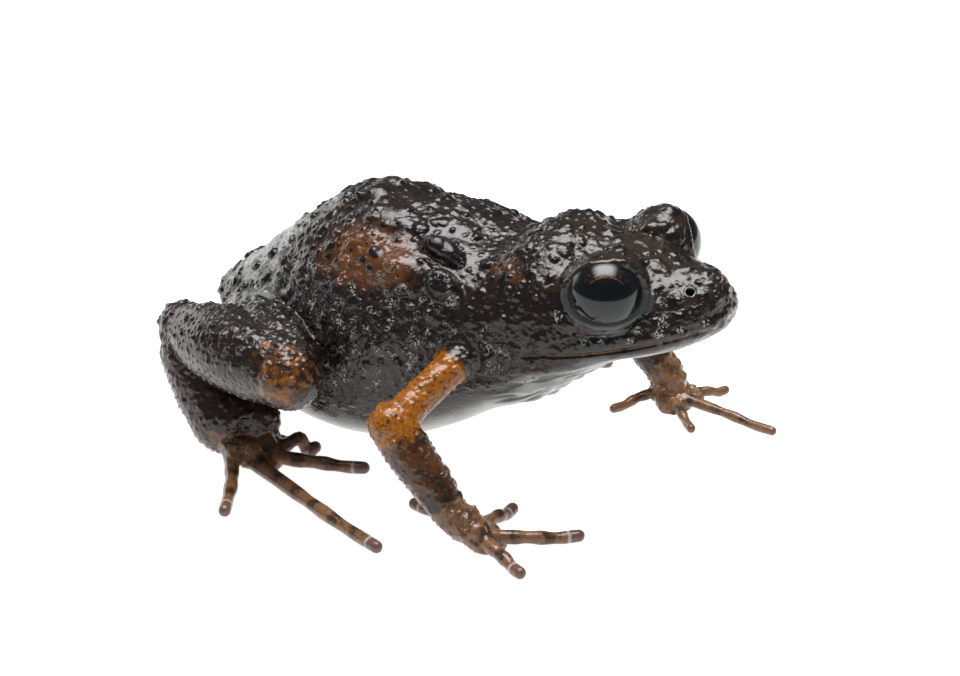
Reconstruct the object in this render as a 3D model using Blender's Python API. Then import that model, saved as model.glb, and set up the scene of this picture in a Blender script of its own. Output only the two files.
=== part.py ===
"""A landdros moss frog, life size, sitting with its head raised and its forelegs spread.

The frog faces +X, its left side is +Y and the floor is z = 0. Shapes are worked out in millimetres
for a frog of 20 mm from snout to vent, scaled by SNOUT_VENT, and brought to metres at the end.
"""

import math
import random

import bmesh
import bpy
import numpy as np
from mathutils import Matrix, Vector

# Driving dimensions, in millimetres
SNOUT_VENT = 20.0
GAP = 0.3
EYE_GAP = 0.12
SLIVER = 0.0015

SCALE = SNOUT_VENT / 20.0
METRES = 0.001

# The trunk, from vent to snout: x, top, underside, height of the widest line, half width,
# and how square the upper half of the section is (2 is an ellipse, less is more like a roof)
TRUNK = (
    (-9.45, 4.60, 4.20, 4.40, 0.15, 2.0),
    (-9.32, 5.05, 3.80, 4.40, 0.62, 2.0),
    (-8.95, 5.15, 3.20, 4.40, 1.10, 2.0),
    (-8.25, 5.86, 2.40, 4.35, 1.75, 2.0),
    (-7.20, 6.74, 1.25, 4.30, 2.40, 2.0),
    (-5.80, 7.96, 0.62, 4.35, 3.10, 1.9),
    (-4.40, 9.10, 0.45, 4.45, 3.75, 1.8),
    (-3.00, 9.38, 0.46, 4.60, 4.12, 1.8),
    (-1.40, 9.16, 0.72, 4.75, 4.20, 1.9),
    (0.40, 9.04, 1.52, 5.00, 4.00, 2.0),
    (2.00, 8.60, 2.46, 5.30, 3.75, 2.1),
    (3.20, 9.16, 2.92, 5.60, 3.60, 2.2),
    (4.20, 9.54, 3.58, 5.90, 3.50, 2.3),
    (5.40, 9.24, 4.58, 6.05, 3.35, 2.3),
    (6.60, 9.06, 5.32, 6.20, 3.00, 2.2),
    (7.80, 8.68, 5.66, 6.50, 2.50, 2.0),
    (8.80, 8.52, 5.98, 6.80, 1.90, 1.8),
    (9.40, 8.32, 6.32, 7.02, 1.30, 1.9),
    (9.75, 7.94, 6.65, 7.15, 0.80, 2.0),
    (9.90, 7.46, 6.95, 7.22, 0.25, 2.0),
)
BELLY_POWER = 2.2
NECK_X = 3.45
# The mouth: where its line starts at the corner and ends at the snout, how far it lies below the
# widest line, its depth and width, and how far the lips stand out, how far from it, and how wide
MOUTH_CORNER, MOUTH_FRONT, MOUTH_DROP = (3.4, 4.3), (9.0, 9.6), 0.13
MOUTH_DEPTH, MOUTH_WIDTH = 0.20, 0.11
LIP_SWELL, LIP_HEIGHT, LIP_WIDTH = 0.07, 0.34, 0.2

# Eyes; the lids are an egg round each eyeball, half sizes (fore and aft, upright, along the gaze)
EYE_AT = (6.41, 2.40, 8.12)
EYE_RADIUS = 1.27
EYE_FACING = (0.43, 0.85, 0.27)
LIDS, LID_INSET = (1.47, 1.60, 1.60), 0.40

NOSTRIL_X, NOSTRIL_ANGLE = 8.90, 57.0
NOSTRIL_FACING = (0.35, 0.62, 0.70)
NOSTRIL_RADIUS, NOSTRIL_DEPTH, NOSTRIL_RIM = 0.13, 0.45, 0.27

# Limbs: joints as (x, distance from the midline, z), and thickness along each length as radii
ARM_RIGHT = {"shoulder": (2.05, 2.70, 5.60), "elbow": (0.56, 6.38, 3.70), "wrist": (2.88, 6.52, 1.00)}
ARM_LEFT = {"shoulder": (2.60, 2.70, 5.80), "elbow": (2.60, 6.29, 3.75), "wrist": (4.72, 6.68, 1.22)}
LEG_RIGHT = {"hip": (-7.6, 1.4, 4.1), "knee": (-3.82, 5.55, 4.28), "heel": (-9.32, 3.15, 4.10),
             "ankle": (-7.25, 4.00, 1.40)}
LEG_LEFT = {"hip": (-7.6, 1.4, 4.1), "knee": (-3.85, 5.60, 4.30), "heel": (-9.00, 3.55, 3.60),
            "ankle": (-6.80, 4.35, 1.45)}
UPPER_ARM_RADII = (0.80, 0.64, 0.58, 0.60, 0.74)
FOREARM_RADII = (0.80, 0.78, 0.74, 0.68, 0.60)
HAND_RADII = (0.62, 0.62, 0.46)
THIGH_RADII = (1.10, 1.35, 1.42, 1.38, 1.15)
SHANK_RADII = (1.10, 1.32, 1.42, 1.24, 0.84)
TARSUS_RADII = (0.92, 1.14, 1.16, 1.20, 1.28)
FOOT_RADII = (1.28, 1.16, 0.55)

# How far the middle of each length is pushed aside, as (x, away from the body, z)
UPPER_ARM_BOW, FOREARM_BOW = (0.0, 0.0, 0.12), (-0.05, 0.05, 0.05)
THIGH_BOW, SHANK_BOW = (0.0, 0.0, 0.25), (0.0, 0.15, 0.10)
TARSUS_BOW, FOOT_BOW = (-0.10, 0.10, -0.10), (0.28, -0.32, 0.15)
STRAIGHT = (0.0, 0.0, 0.0)

# Digits: where each leaves the palm or sole, a bend on the way with its height, and its tip
FINGERS_RIGHT = (
    ((3.10, 6.10), (1.95, 5.40, 0.30), (0.31, 4.82)),
    ((3.55, 6.00), (3.68, 4.88, 0.38), (3.78, 3.52)),
    ((4.15, 6.40), (5.35, 5.65, 0.34), (6.83, 4.40)),
    ((4.25, 6.85), (5.20, 7.38, 0.32), (6.28, 8.05)),
)
FINGERS_LEFT = (
    ((4.48, 6.52), (3.98, 5.90, 0.34), (3.38, 4.74)),
    ((5.10, 6.30), (5.92, 5.44, 0.34), (6.80, 4.48)),
    ((5.52, 6.45), (7.46, 6.12, 0.32), (9.50, 5.74)),
    ((5.35, 6.90), (6.06, 7.58, 0.34), (6.58, 8.38)),
)
TOES_RIGHT = (
    ((-6.05, 3.55), (-5.75, 2.90, 0.34), (-5.20, 2.25)),
    ((-5.35, 3.65), (-4.85, 3.15, 0.72), (-4.12, 2.72)),
    ((-4.95, 4.25), (-3.62, 3.75, 0.30), (-1.92, 3.15)),
    ((-5.20, 5.20), (-2.12, 6.84, 0.32), (1.24, 8.44)),
    ((-6.45, 5.05), (-5.62, 6.50, 0.34), (-4.75, 8.55)),
)
TOES_LEFT = (
    ((-5.50, 3.90), (-5.20, 3.25, 0.34), (-4.65, 2.60)),
    ((-4.80, 4.00), (-4.25, 3.50, 0.60), (-3.50, 3.05)),
    ((-4.40, 4.70), (-3.00, 4.30, 0.30), (-1.25, 3.80)),
    ((-4.65, 5.50), (-1.55, 7.05, 0.32), (1.90, 8.70)),
    ((-5.90, 5.40), (-5.10, 6.85, 0.34), (-4.20, 8.85)),
)
FINGER_RADIUS, TOE_RADIUS = 0.23, 0.24
# Thickness along a digit, root first, with a swelling at each of its joints and a blunt tip
DIGIT_FORM = (1.60, 1.25, 1.05, 1.12, 0.92, 1.08, 0.88, 0.96, 0.92)
DIGIT_REST = 0.18
ROOT_HEIGHT, ROOT_SHARE, KNUCKLE_HEIGHT = 0.58, 0.72, 0.46
# The outer joint of a digit: how far it is from bend to tip and its height, and the length of the tip
OUTER_SHARE, OUTER_HEIGHT, TIP_LENGTH = 0.55, 0.21, 1.4

# Half sizes of the palm and the sole, the heights of their middles, and how far the sole runs up
PALM, PALM_HEIGHT = (1.00, 0.80, 0.46), 0.41
SOLE, SOLE_HEIGHT, SOLE_RISE = (1.35, 1.20, 0.44), 0.48, 0.3

# Warts, as low domes: how many, and the range of their radii
WART_SEED = 7
BACK_WARTS, HEAD_WARTS = 30, 9
WART_RADII, WART_APART = (0.28, 0.50), 0.12
WART_HEIGHT, WART_SUNK = 0.50, 0.12
# Where they grow: x from and to, and angle up from the left widest line in degrees, from and to
HEAD_WART_AREA = (4.3, 8.4, 50, 130)
BACK_WART_AREA = (-8.6, 2.55, 18, 162)
# Warts with a place of their own: x, angle up from the widest line in degrees, half length, half
# width; those above ONE_SIDED are on the left only, the rest on both sides
GREAT_WARTS = (
    (0.75, 36.0, 0.62, 0.42),
    (0.05, 58.0, 0.78, 0.36),
    (-0.60, 34.0, 0.40, 0.30),
    (-8.35, 82.0, 0.40, 0.34),
    (0.55, 81.0, 0.46, 0.40),
    (-6.68, 57.0, 0.32, 0.28),
    (-7.30, 51.0, 0.28, 0.24),
)
ONE_SIDED = 80.0

# How finely each form is divided
SIDES, DIGIT_SIDES, TRUNK_SIDES = 14, 8, 36
HEAD_RINGS, BODY_RINGS = 25, 32
EYE_SIDES, EYE_RINGS = 24, 12
PAD_SIDES, PAD_RINGS = 12, 7
WART_SIDES, WART_RINGS = 7, 5
NOSTRIL_SIDES = 8
CAP_TURNS = (78, 42)

# The trunk's form that limbs are cut clear of ends here, inside the head
CUTTER_END = 7.5

COLOURS = {
    # base colour as linear RGB, roughness
    "dark_skin": ((0.030, 0.017, 0.011), 0.28),
    "rusty_skin": ((0.060, 0.024, 0.008), 0.30),
    "orange_skin": ((0.280, 0.085, 0.012), 0.30),
    "brown_skin": ((0.110, 0.045, 0.016), 0.32),
    "eye": ((0.006, 0.006, 0.008), 0.05),
}


def clear_scene():
    for old in list(bpy.data.objects):
        bpy.data.objects.remove(old, do_unlink=True)


def new_collection(name):
    made = bpy.data.collections.new(name)
    bpy.context.scene.collection.children.link(made)
    return made


def finish_of(name):
    """One Principled material of the table above."""
    found = bpy.data.materials.get(name)
    if found:
        return found
    colour, roughness = COLOURS[name]
    made = bpy.data.materials.new(name)
    made.use_nodes = True
    shader = made.node_tree.nodes["Principled BSDF"]
    shader.inputs["Base Color"].default_value = (*colour, 1.0)
    shader.inputs["Roughness"].default_value = roughness
    shader.inputs["Metallic"].default_value = 0.0
    return made


def catmull_rom(rows, steps):
    """Points on a smooth curve through the rows, each row a tuple of numbers."""
    rows = np.asarray(rows, float)
    ends = np.vstack([2 * rows[0] - rows[1], rows, 2 * rows[-1] - rows[-2]])
    made = []
    for i in range(len(rows) - 1):
        a, b, c, d = ends[i : i + 4]
        for t in np.linspace(0, 1, steps, endpoint=False):
            made.append(
                0.5 * (2 * b + (c - a) * t + (2 * a - 5 * b + 4 * c - d) * t * t
                       + (3 * b - a - 3 * c + d) * t**3)
            )
    made.append(rows[-1])
    return np.array(made)


TRUNK_CURVE = catmull_rom(TRUNK, 12)


def trunk_section(x):
    """Top, underside, widest height, half width and squareness of the trunk at x."""
    return [np.interp(x, TRUNK_CURVE[:, 0], TRUNK_CURVE[:, k]) for k in range(1, 6)]


def smooth_step(value, low, high):
    t = min(1.0, max(0.0, (value - low) / (high - low)))
    return t * t * (3 - 2 * t)


def trunk_point(x, angle, grow=0.0):
    """The point of the trunk's skin at x, angle radians up from its left side, grown outwards."""
    top, bottom, middle, half, power = trunk_section(x)
    up = math.sin(angle)
    across = math.cos(angle)
    reach = (top - middle) if up >= 0 else (middle - bottom)
    squareness = power if up >= 0 else BELLY_POWER
    y = (half + grow) * math.copysign(abs(across) ** (2 / squareness), across)
    z = middle + (reach + grow) * math.copysign(abs(up) ** (2 / squareness), up)
    if grow == 0.0:
        y = math.copysign(max(0.0, abs(y) + lip_relief(x, z - middle + MOUTH_DROP)), y) if across else y
    return Vector((x, y, z))


def lip_relief(x, above):
    """How far the lips stand out (or the mouth line lies in) at a height above the mouth line."""
    fade = smooth_step(x, *MOUTH_CORNER) * (1 - smooth_step(x, *MOUTH_FRONT))
    groove = -MOUTH_DEPTH * math.exp(-((above / MOUTH_WIDTH) ** 2))
    swell = LIP_SWELL * math.exp(-(((abs(above) - LIP_HEIGHT) / LIP_WIDTH) ** 2))
    return fade * (groove + swell)


def ring_angles(fine):
    """Angles round a section; fine ones lie close together beside the mouth line."""
    if not fine:
        return [math.tau * k / TRUNK_SIDES for k in range(TRUNK_SIDES)]
    quarter = [0, 1.6, 4.0, 8.0, 15, 25, 36, 48, 60, 74]
    right = sorted({*quarter, *(-a for a in quarter), 90, -90})
    left = [180 - a for a in right if abs(a) < 90]
    return [math.radians(a) for a in [*right, *reversed(left)]]


def mesh_object(name, work, collection):
    """An object for the mesh that was built in work, with its faces turned outwards."""
    bmesh.ops.recalc_face_normals(work, faces=work.faces)
    mesh = bpy.data.meshes.new(name)
    work.to_mesh(mesh)
    work.free()
    made = bpy.data.objects.new(name, mesh)
    collection.objects.link(made)
    return made


def loft(name, rings, collection):
    """A closed body through rings of as many points each."""
    work = bmesh.new()
    rows = [[work.verts.new(p) for p in ring] for ring in rings]
    for first, second in zip(rows, rows[1:]):
        for k in range(len(first)):
            after = (k + 1) % len(first)
            work.faces.new((first[k], first[after], second[after], second[k]))
    for row in (rows[0], rows[-1]):
        middle = work.verts.new(sum((v.co for v in row), Vector()) / len(row))
        for k in range(len(row)):
            work.faces.new((row[k], row[(k + 1) % len(row)], middle))
    return mesh_object(name, work, collection)


def trunk_stations(start, end, count, blunt_ends):
    """Places along the trunk, drawn together at an end that closes to a point."""
    share = np.linspace(0, 1, count)
    if blunt_ends == "front":
        share = np.sin(share * math.pi / 2)
    elif blunt_ends == "back":
        share = 1 - np.sin((1 - share) * math.pi / 2)
    return start + (end - start) * share


def trunk_body(name, start, end, count, fine, closing, collection, grow=0.0):
    """A length of the trunk; with grow it is the same form made larger, for use as a cutter."""
    angles = ring_angles(fine)
    rings = [
        [trunk_point(x, a, grow) for a in angles]
        for x in trunk_stations(start, end, count, closing)
    ]
    return loft(name, rings, collection)


def tube(name, points, radii, sides, collection, steps=3):
    """A limb: a curve with a round section whose radius follows radii, rounded at both ends."""
    given = np.linspace(0, 1, len(radii))
    spine = catmull_rom(points, steps)
    along = np.concatenate([[0], np.cumsum(np.linalg.norm(np.diff(spine, axis=0), axis=1))])
    thick = np.interp(along / along[-1], given, radii)
    start_way = (spine[0] - spine[1]) / np.linalg.norm(spine[0] - spine[1])
    end_way = (spine[-1] - spine[-2]) / np.linalg.norm(spine[-1] - spine[-2])
    rows = []
    for turn in CAP_TURNS:
        rise = math.radians(turn)
        rows.append((*(spine[0] + start_way * thick[0] * math.sin(rise)), thick[0] * math.cos(rise)))
    rows += [(*p, r) for p, r in zip(spine, thick)]
    for turn in reversed(CAP_TURNS):
        rise = math.radians(turn)
        rows.append((*(spine[-1] + end_way * thick[-1] * math.sin(rise)), thick[-1] * math.cos(rise)))
    curve = bpy.data.curves.new(name, "CURVE")
    curve.dimensions = "3D"
    curve.bevel_depth = 1.0
    curve.bevel_resolution = (sides - 4) // 2
    curve.use_fill_caps = True
    curve.twist_mode = "MINIMUM"
    spline = curve.splines.new("POLY")
    spline.points.add(len(rows) - 1)
    for point, (x, y, z, radius) in zip(spline.points, rows):
        point.co = (x, y, z, 1.0)
        point.radius = radius
    shown = bpy.data.objects.new(name + "_curve", curve)
    collection.objects.link(shown)
    return curve_to_mesh(shown, name, collection)


def curve_to_mesh(curve_object, name, collection):
    """The curve's mesh with its caps welded on; the curve is removed."""
    bpy.context.view_layer.update()
    graph = bpy.context.evaluated_depsgraph_get()
    mesh = bpy.data.meshes.new_from_object(curve_object.evaluated_get(graph))
    work = bmesh.new()
    work.from_mesh(mesh)
    bmesh.ops.remove_doubles(work, verts=work.verts, dist=1e-5)
    bpy.data.meshes.remove(mesh)
    bpy.data.objects.remove(curve_object, do_unlink=True)
    return mesh_object(name, work, collection)


def ball(name, centre, half_sizes, collection, turn, segments, rings):
    """An ellipsoid, turned by a rotation matrix."""
    work = bmesh.new()
    bmesh.ops.create_uvsphere(work, u_segments=segments, v_segments=rings, radius=1.0)
    place = Matrix.Translation(Vector(centre)) @ turn.to_4x4() @ Matrix.Diagonal((*half_sizes, 1.0))
    bmesh.ops.transform(work, matrix=place, verts=work.verts)
    return mesh_object(name, work, collection)


def upright_on(normal, along=(1.0, 0.0, 0.0)):
    """A rotation whose z lies along normal and whose x is as near to along as it can be."""
    up = Vector(normal).normalized()
    ahead = Vector(along) - up * Vector(along).dot(up)
    ahead.normalize()
    side = up.cross(ahead)
    return Matrix((ahead, side, up)).transposed()


def half_space(name, point, normal, collection, size=40.0):
    """A large block that fills the side of a plane to which normal points."""
    work = bmesh.new()
    bmesh.ops.create_cube(work, size=size)
    turn = upright_on(normal, (0.31, 0.83, 0.46)).to_4x4()
    middle = Vector(point) + Vector(normal).normalized() * size / 2
    bmesh.ops.transform(work, matrix=Matrix.Translation(middle) @ turn, verts=work.verts)
    return mesh_object(name, work, collection)


def boolean(body, others, operation, solver="EXACT"):
    """Joins or cuts body with the other objects at one go, and removes them."""
    helpers = new_collection("helpers")
    for other in others:
        for owner in list(other.users_collection):
            owner.objects.unlink(other)
        helpers.objects.link(other)
    modifier = body.modifiers.new("join", "BOOLEAN")
    modifier.operation = operation
    modifier.solver = solver
    modifier.operand_type = "COLLECTION"
    modifier.collection = helpers
    bpy.context.view_layer.update()
    graph = bpy.context.evaluated_depsgraph_get()
    mesh = bpy.data.meshes.new_from_object(body.evaluated_get(graph))
    body.modifiers.remove(modifier)
    old = body.data
    body.data = mesh
    bpy.data.meshes.remove(old)
    for other in others:
        bpy.data.objects.remove(other, do_unlink=True)
    bpy.data.collections.remove(helpers)
    return body


def keep_largest(body):
    """Keeps only the largest closed surface of a body, and tidies what a Boolean leaves."""
    work = bmesh.new()
    work.from_mesh(body.data)
    bmesh.ops.triangulate(work, faces=work.faces)
    bmesh.ops.remove_doubles(work, verts=work.verts, dist=SLIVER)
    bmesh.ops.dissolve_degenerate(work, edges=work.edges, dist=SLIVER)
    seen, groups = set(), []
    for vert in work.verts:
        if vert in seen:
            continue
        group, queue = [], [vert]
        seen.add(vert)
        while queue:
            here = queue.pop()
            group.append(here)
            for edge in here.link_edges:
                other = edge.other_vert(here)
                if other not in seen:
                    seen.add(other)
                    queue.append(other)
        groups.append(group)
    groups.sort(key=len, reverse=True)
    loose = [v for group in groups[1:] for v in group]
    if loose:
        bmesh.ops.delete(work, geom=loose, context="VERTS")
    bmesh.ops.triangulate(work, faces=work.faces)
    work.to_mesh(body.data)
    work.free()
    return body


def on_side(point, side):
    """A point given as (x, distance from the midline, z), on the left (+1) or right (-1)."""
    return Vector((point[0], point[1] * side, point[2]))


def joint_plane(joint, before, after):
    """The plane that halves the bend at a joint: its normal points back along the first length."""
    back = (before - joint).normalized()
    ahead = (after - joint).normalized()
    return (back - ahead).normalized()


def part_at(body, joint, normal, keeps, helpers):
    """Cuts a limb length off at a joint's plane, half the gap short of it."""
    toward = normal * (1 if keeps == "before" else -1)
    cutter = half_space("cutter", joint + toward * GAP / 2, -toward, helpers)
    return boolean(body, [cutter], "DIFFERENCE")


def domes(places, helpers):
    """Wart domes from (point, normal, along, half length, half width)."""
    return [
        ball("wart", point - normal * width * WART_SUNK,
             (length, width, math.sqrt(length * width) * WART_HEIGHT), helpers,
             upright_on(normal, along), WART_SIDES, WART_RINGS)
        for point, normal, along, length, width in places
    ]


def trunk_normal(x, angle):
    step = 0.02
    ahead = trunk_point(x + step, angle) - trunk_point(x - step, angle)
    round_way = trunk_point(x, angle + step) - trunk_point(x, angle - step)
    return ahead.cross(round_way).normalized() * -1


def trunk_wart(x, degrees, length, width, side=1):
    angle = math.radians(degrees if side > 0 else 180 - degrees)
    normal = trunk_normal(x, angle)
    point = trunk_point(x, angle)
    middle = Vector((x, 0, trunk_section(x)[2]))
    if normal.dot(point - middle) < 0:
        normal = -normal
    return point, normal, (1.0, 0.0, 0.0), length, width


def spread_warts(draw, count, area, taken):
    """Warts spread over an area of the trunk, none close to another."""
    low_x, high_x, low_angle, high_angle = area
    made = []
    while len(made) < count:
        x = draw.uniform(low_x, high_x)
        degrees = draw.uniform(low_angle, high_angle)
        radius = draw.uniform(*WART_RADII)
        wart = trunk_wart(x, degrees, radius, radius * draw.uniform(0.75, 1.0))
        apart = all((wart[0] - p).length > radius + r + WART_APART for p, r in taken)
        if apart:
            made.append(wart)
            taken.append((wart[0], radius))
    return made


def eye_centre(side):
    return on_side(EYE_AT, side)


def eye_axis(side):
    return on_side(EYE_FACING, side).normalized()


def build_head(parts, helpers):
    head = trunk_body("head", NECK_X + GAP / 2, TRUNK[-1][0], HEAD_RINGS, True, "front", parts)
    added, cut = [], []
    for side in (1, -1):
        middle = eye_centre(side) - eye_axis(side) * LID_INSET
        turn = upright_on(eye_axis(side))
        added.append(ball("lid", middle, LIDS, helpers, turn, EYE_SIDES, EYE_RINGS))
        socket = (EYE_RADIUS + EYE_GAP,) * 3
        cut.append(ball("socket", eye_centre(side), socket, helpers, turn, EYE_SIDES, EYE_RINGS))
        angle = math.radians(NOSTRIL_ANGLE if side > 0 else 180 - NOSTRIL_ANGLE)
        rim = trunk_point(NOSTRIL_X, angle)
        normal = on_side(NOSTRIL_FACING, side).normalized()
        upright = upright_on(normal)
        low = (NOSTRIL_RIM, NOSTRIL_RIM, NOSTRIL_RIM / 2)
        added.append(ball("nostril_rim", rim, low, helpers, upright, PAD_SIDES, NOSTRIL_SIDES))
        hole = (NOSTRIL_RADIUS, NOSTRIL_RADIUS, NOSTRIL_DEPTH)
        opening = rim + normal * NOSTRIL_RADIUS
        cut.append(ball("nostril", opening, hole, helpers, upright, NOSTRIL_SIDES, NOSTRIL_SIDES))
    taken = [(eye_centre(side), LIDS[1]) for side in (1, -1)]
    spots = spread_warts(random.Random(WART_SEED), HEAD_WARTS, HEAD_WART_AREA, taken)
    added += domes(spots, helpers)
    boolean(head, added, "UNION")
    boolean(head, cut, "DIFFERENCE")
    return keep_largest(head)


def build_torso(parts, helpers):
    torso = trunk_body("torso", TRUNK[0][0], NECK_X - GAP / 2, BODY_RINGS, False, "back", parts)
    spots = []
    for wart in GREAT_WARTS:
        sides = (1, -1) if wart[1] < ONE_SIDED else (1,)
        spots += [trunk_wart(*wart, side) for side in sides]
    taken = [(spot[0], max(spot[3:])) for spot in spots]
    spots += spread_warts(random.Random(WART_SEED + 1), BACK_WARTS, BACK_WART_AREA, taken)
    boolean(torso, domes(spots, helpers), "UNION")
    return keep_largest(torso)


def bowed(first, second, bow, side):
    """Three points from first to second with the middle one pushed aside."""
    return [tuple(first), tuple((first + second) / 2 + on_side(bow, side)), tuple(second)]


def build_arm(side_name, side, joints, fingers, parts, helpers):
    shoulder, elbow, wrist = (on_side(joints[k], side) for k in ("shoulder", "elbow", "wrist"))
    palm = middle_of(fingers, side, PALM_HEIGHT)
    elbow_plane = joint_plane(elbow, shoulder, wrist)
    wrist_plane = joint_plane(wrist, elbow, palm)
    upper = tube(f"upper_arm_{side_name}", bowed(shoulder, elbow, UPPER_ARM_BOW, side),
                 UPPER_ARM_RADII, SIDES, parts, 4)
    part_at(upper, elbow, elbow_plane, "before", helpers)
    clear_of_trunk(upper, helpers)
    fore = tube(f"forearm_{side_name}", bowed(elbow, wrist, FOREARM_BOW, side),
                FOREARM_RADII, SIDES, parts, 4)
    part_at(fore, elbow, elbow_plane, "after", helpers)
    part_at(fore, wrist, wrist_plane, "before", helpers)
    hand = tube(f"hand_{side_name}", bowed(wrist, palm, STRAIGHT, side), HAND_RADII, SIDES, parts, 3)
    part_at(hand, wrist, wrist_plane, "after", helpers)
    add_digits(hand, wrist, palm, PALM, fingers, side, FINGER_RADIUS, helpers)
    return [keep_largest(piece) for piece in (upper, fore, hand)]


def middle_of(digits, side, height):
    """The point between the roots of the digits."""
    flat = np.mean([root for root, bend, tip in digits], axis=0)
    return on_side((*flat, height), side)


def add_digits(piece, joint, pad, half_sizes, digits, side, radius, helpers):
    """Joins the palm or sole and its digits to a hand or foot, and stands it on the floor."""
    slope = pad - joint
    normal = slope.cross(Vector((0, 0, 1))).cross(slope)
    added = [ball("pad", pad, half_sizes, helpers, upright_on(normal, slope), PAD_SIDES, PAD_RINGS)]
    for root, bend, tip in digits:
        start = joint.lerp(on_side((*root, ROOT_HEIGHT), side), ROOT_SHARE)
        knuckle = on_side((*root, KNUCKLE_HEIGHT), side)
        end = on_side((*tip, DIGIT_REST), side)
        added.append(digit(start, knuckle, on_side(bend, side), end, radius, helpers))
    boolean(piece, added, "UNION", "MANIFOLD")
    floor = half_space("floor", (0, 0, 0), (0, 0, -1), helpers)
    boolean(piece, [floor], "DIFFERENCE", "MANIFOLD")


def digit(start, knuckle, bend, tip, radius, helpers):
    """A finger or toe that comes down to the floor, with swollen joints and a blunt tip."""
    end = tip - (tip - bend).normalized() * radius * TIP_LENGTH
    outer = bend.lerp(end, OUTER_SHARE)
    outer.z = OUTER_HEIGHT
    points = [tuple(p) for p in (start, knuckle, bend, outer, end)]
    return tube("digit", points, [radius * k for k in DIGIT_FORM], DIGIT_SIDES, helpers, 2)


def clear_of_trunk(piece, helpers):
    """Cuts a limb's root off where the trunk begins, with the gap between them."""
    start = TRUNK[0][0] - GAP
    grown = trunk_body("trunk_grown", start, CUTTER_END, BODY_RINGS, False, "back", helpers, GAP)
    boolean(piece, [grown], "DIFFERENCE")


def build_leg(side_name, side, joints, toes, parts, helpers):
    hip, knee, heel, ankle = (on_side(joints[k], side) for k in ("hip", "knee", "heel", "ankle"))
    sole = middle_of(toes, side, SOLE_HEIGHT).lerp(ankle, SOLE_RISE)
    knee_plane = joint_plane(knee, hip, heel)
    heel_plane = joint_plane(heel, knee, ankle)
    ankle_plane = joint_plane(ankle, heel, sole)
    thigh = tube(f"thigh_{side_name}", bowed(hip, knee, THIGH_BOW, side), THIGH_RADII, SIDES, parts, 4)
    part_at(thigh, knee, knee_plane, "before", helpers)
    clear_of_trunk(thigh, helpers)
    shank = tube(f"shank_{side_name}", bowed(knee, heel, SHANK_BOW, side),
                 SHANK_RADII, SIDES, parts, 5)
    part_at(shank, knee, knee_plane, "after", helpers)
    part_at(shank, heel, heel_plane, "before", helpers)
    tarsus = tube(f"tarsus_{side_name}", bowed(heel, ankle, TARSUS_BOW, side),
                  TARSUS_RADII, SIDES, parts, 4)
    part_at(tarsus, heel, heel_plane, "after", helpers)
    part_at(tarsus, ankle, ankle_plane, "before", helpers)
    foot = tube(f"foot_{side_name}", bowed(ankle, sole, FOOT_BOW, side), FOOT_RADII, SIDES, parts, 3)
    part_at(foot, ankle, ankle_plane, "after", helpers)
    add_digits(foot, ankle, sole, SOLE, toes, side, TOE_RADIUS, helpers)
    return [keep_largest(piece) for piece in (thigh, shank, tarsus, foot)]


def build_eye(side_name, side, parts):
    turn = upright_on(eye_axis(side))
    return ball(f"eye_{side_name}", eye_centre(side), (EYE_RADIUS,) * 3, parts, turn, EYE_SIDES, EYE_RINGS)


def shade(body):
    body.data.shade_smooth()
    body.data.set_sharp_from_angle(angle=math.radians(40))


def settle(bodies):
    """Scales to metres and moves the frog so that the origin is under its middle, on the floor."""
    points = np.array([v.co for body in bodies for v in body.data.vertices])
    low, high = points.min(axis=0), points.max(axis=0)
    middle = Vector(((low[0] + high[0]) / 2, (low[1] + high[1]) / 2, low[2]))
    place = Matrix.Scale(SCALE * METRES, 4) @ Matrix.Translation(-middle)
    for body in bodies:
        body.data.transform(place)


def main():
    clear_scene()
    parts = new_collection("moss_frog")
    helpers = new_collection("cutters_and_pieces")
    trunk_parts = [build_head(parts, helpers), build_torso(parts, helpers)]
    eyes = [build_eye("left", 1, parts), build_eye("right", -1, parts)]
    arms = [
        build_arm("left", 1, ARM_LEFT, FINGERS_LEFT, parts, helpers),
        build_arm("right", -1, ARM_RIGHT, FINGERS_RIGHT, parts, helpers),
    ]
    legs = [
        build_leg("left", 1, LEG_LEFT, TOES_LEFT, parts, helpers),
        build_leg("right", -1, LEG_RIGHT, TOES_RIGHT, parts, helpers),
    ]
    finishes = [(trunk_parts, "dark_skin"), (eyes, "eye")]
    for upper, fore, hand in arms:
        finishes += [([upper], "orange_skin"), ([fore], "rusty_skin"), ([hand], "brown_skin")]
    for thigh, shank, tarsus, foot in legs:
        finishes += [([thigh, shank, tarsus], "rusty_skin"), ([foot], "brown_skin")]
    every = []
    for bodies, finish in finishes:
        for body in bodies:
            body.data.materials.clear()
            body.data.materials.append(finish_of(finish))
            shade(body)
            every.append(body)
    settle(every)
    bpy.data.collections.remove(helpers)


main()
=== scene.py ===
"""The wet skin, the eyes and the studio of a landdros moss frog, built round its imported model.

The file is laid out as an add-on and is run as a script. Shapes are worked out in millimetres, with
the frog facing +X, its left side at +Y and the floor at z = 0, and are brought to metres at the end.
"""

import itertools
import math

import bmesh
import bpy
import numpy as np
from bpy.props import FloatProperty, FloatVectorProperty, PointerProperty
from mathutils import Matrix, Vector, kdtree


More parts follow.
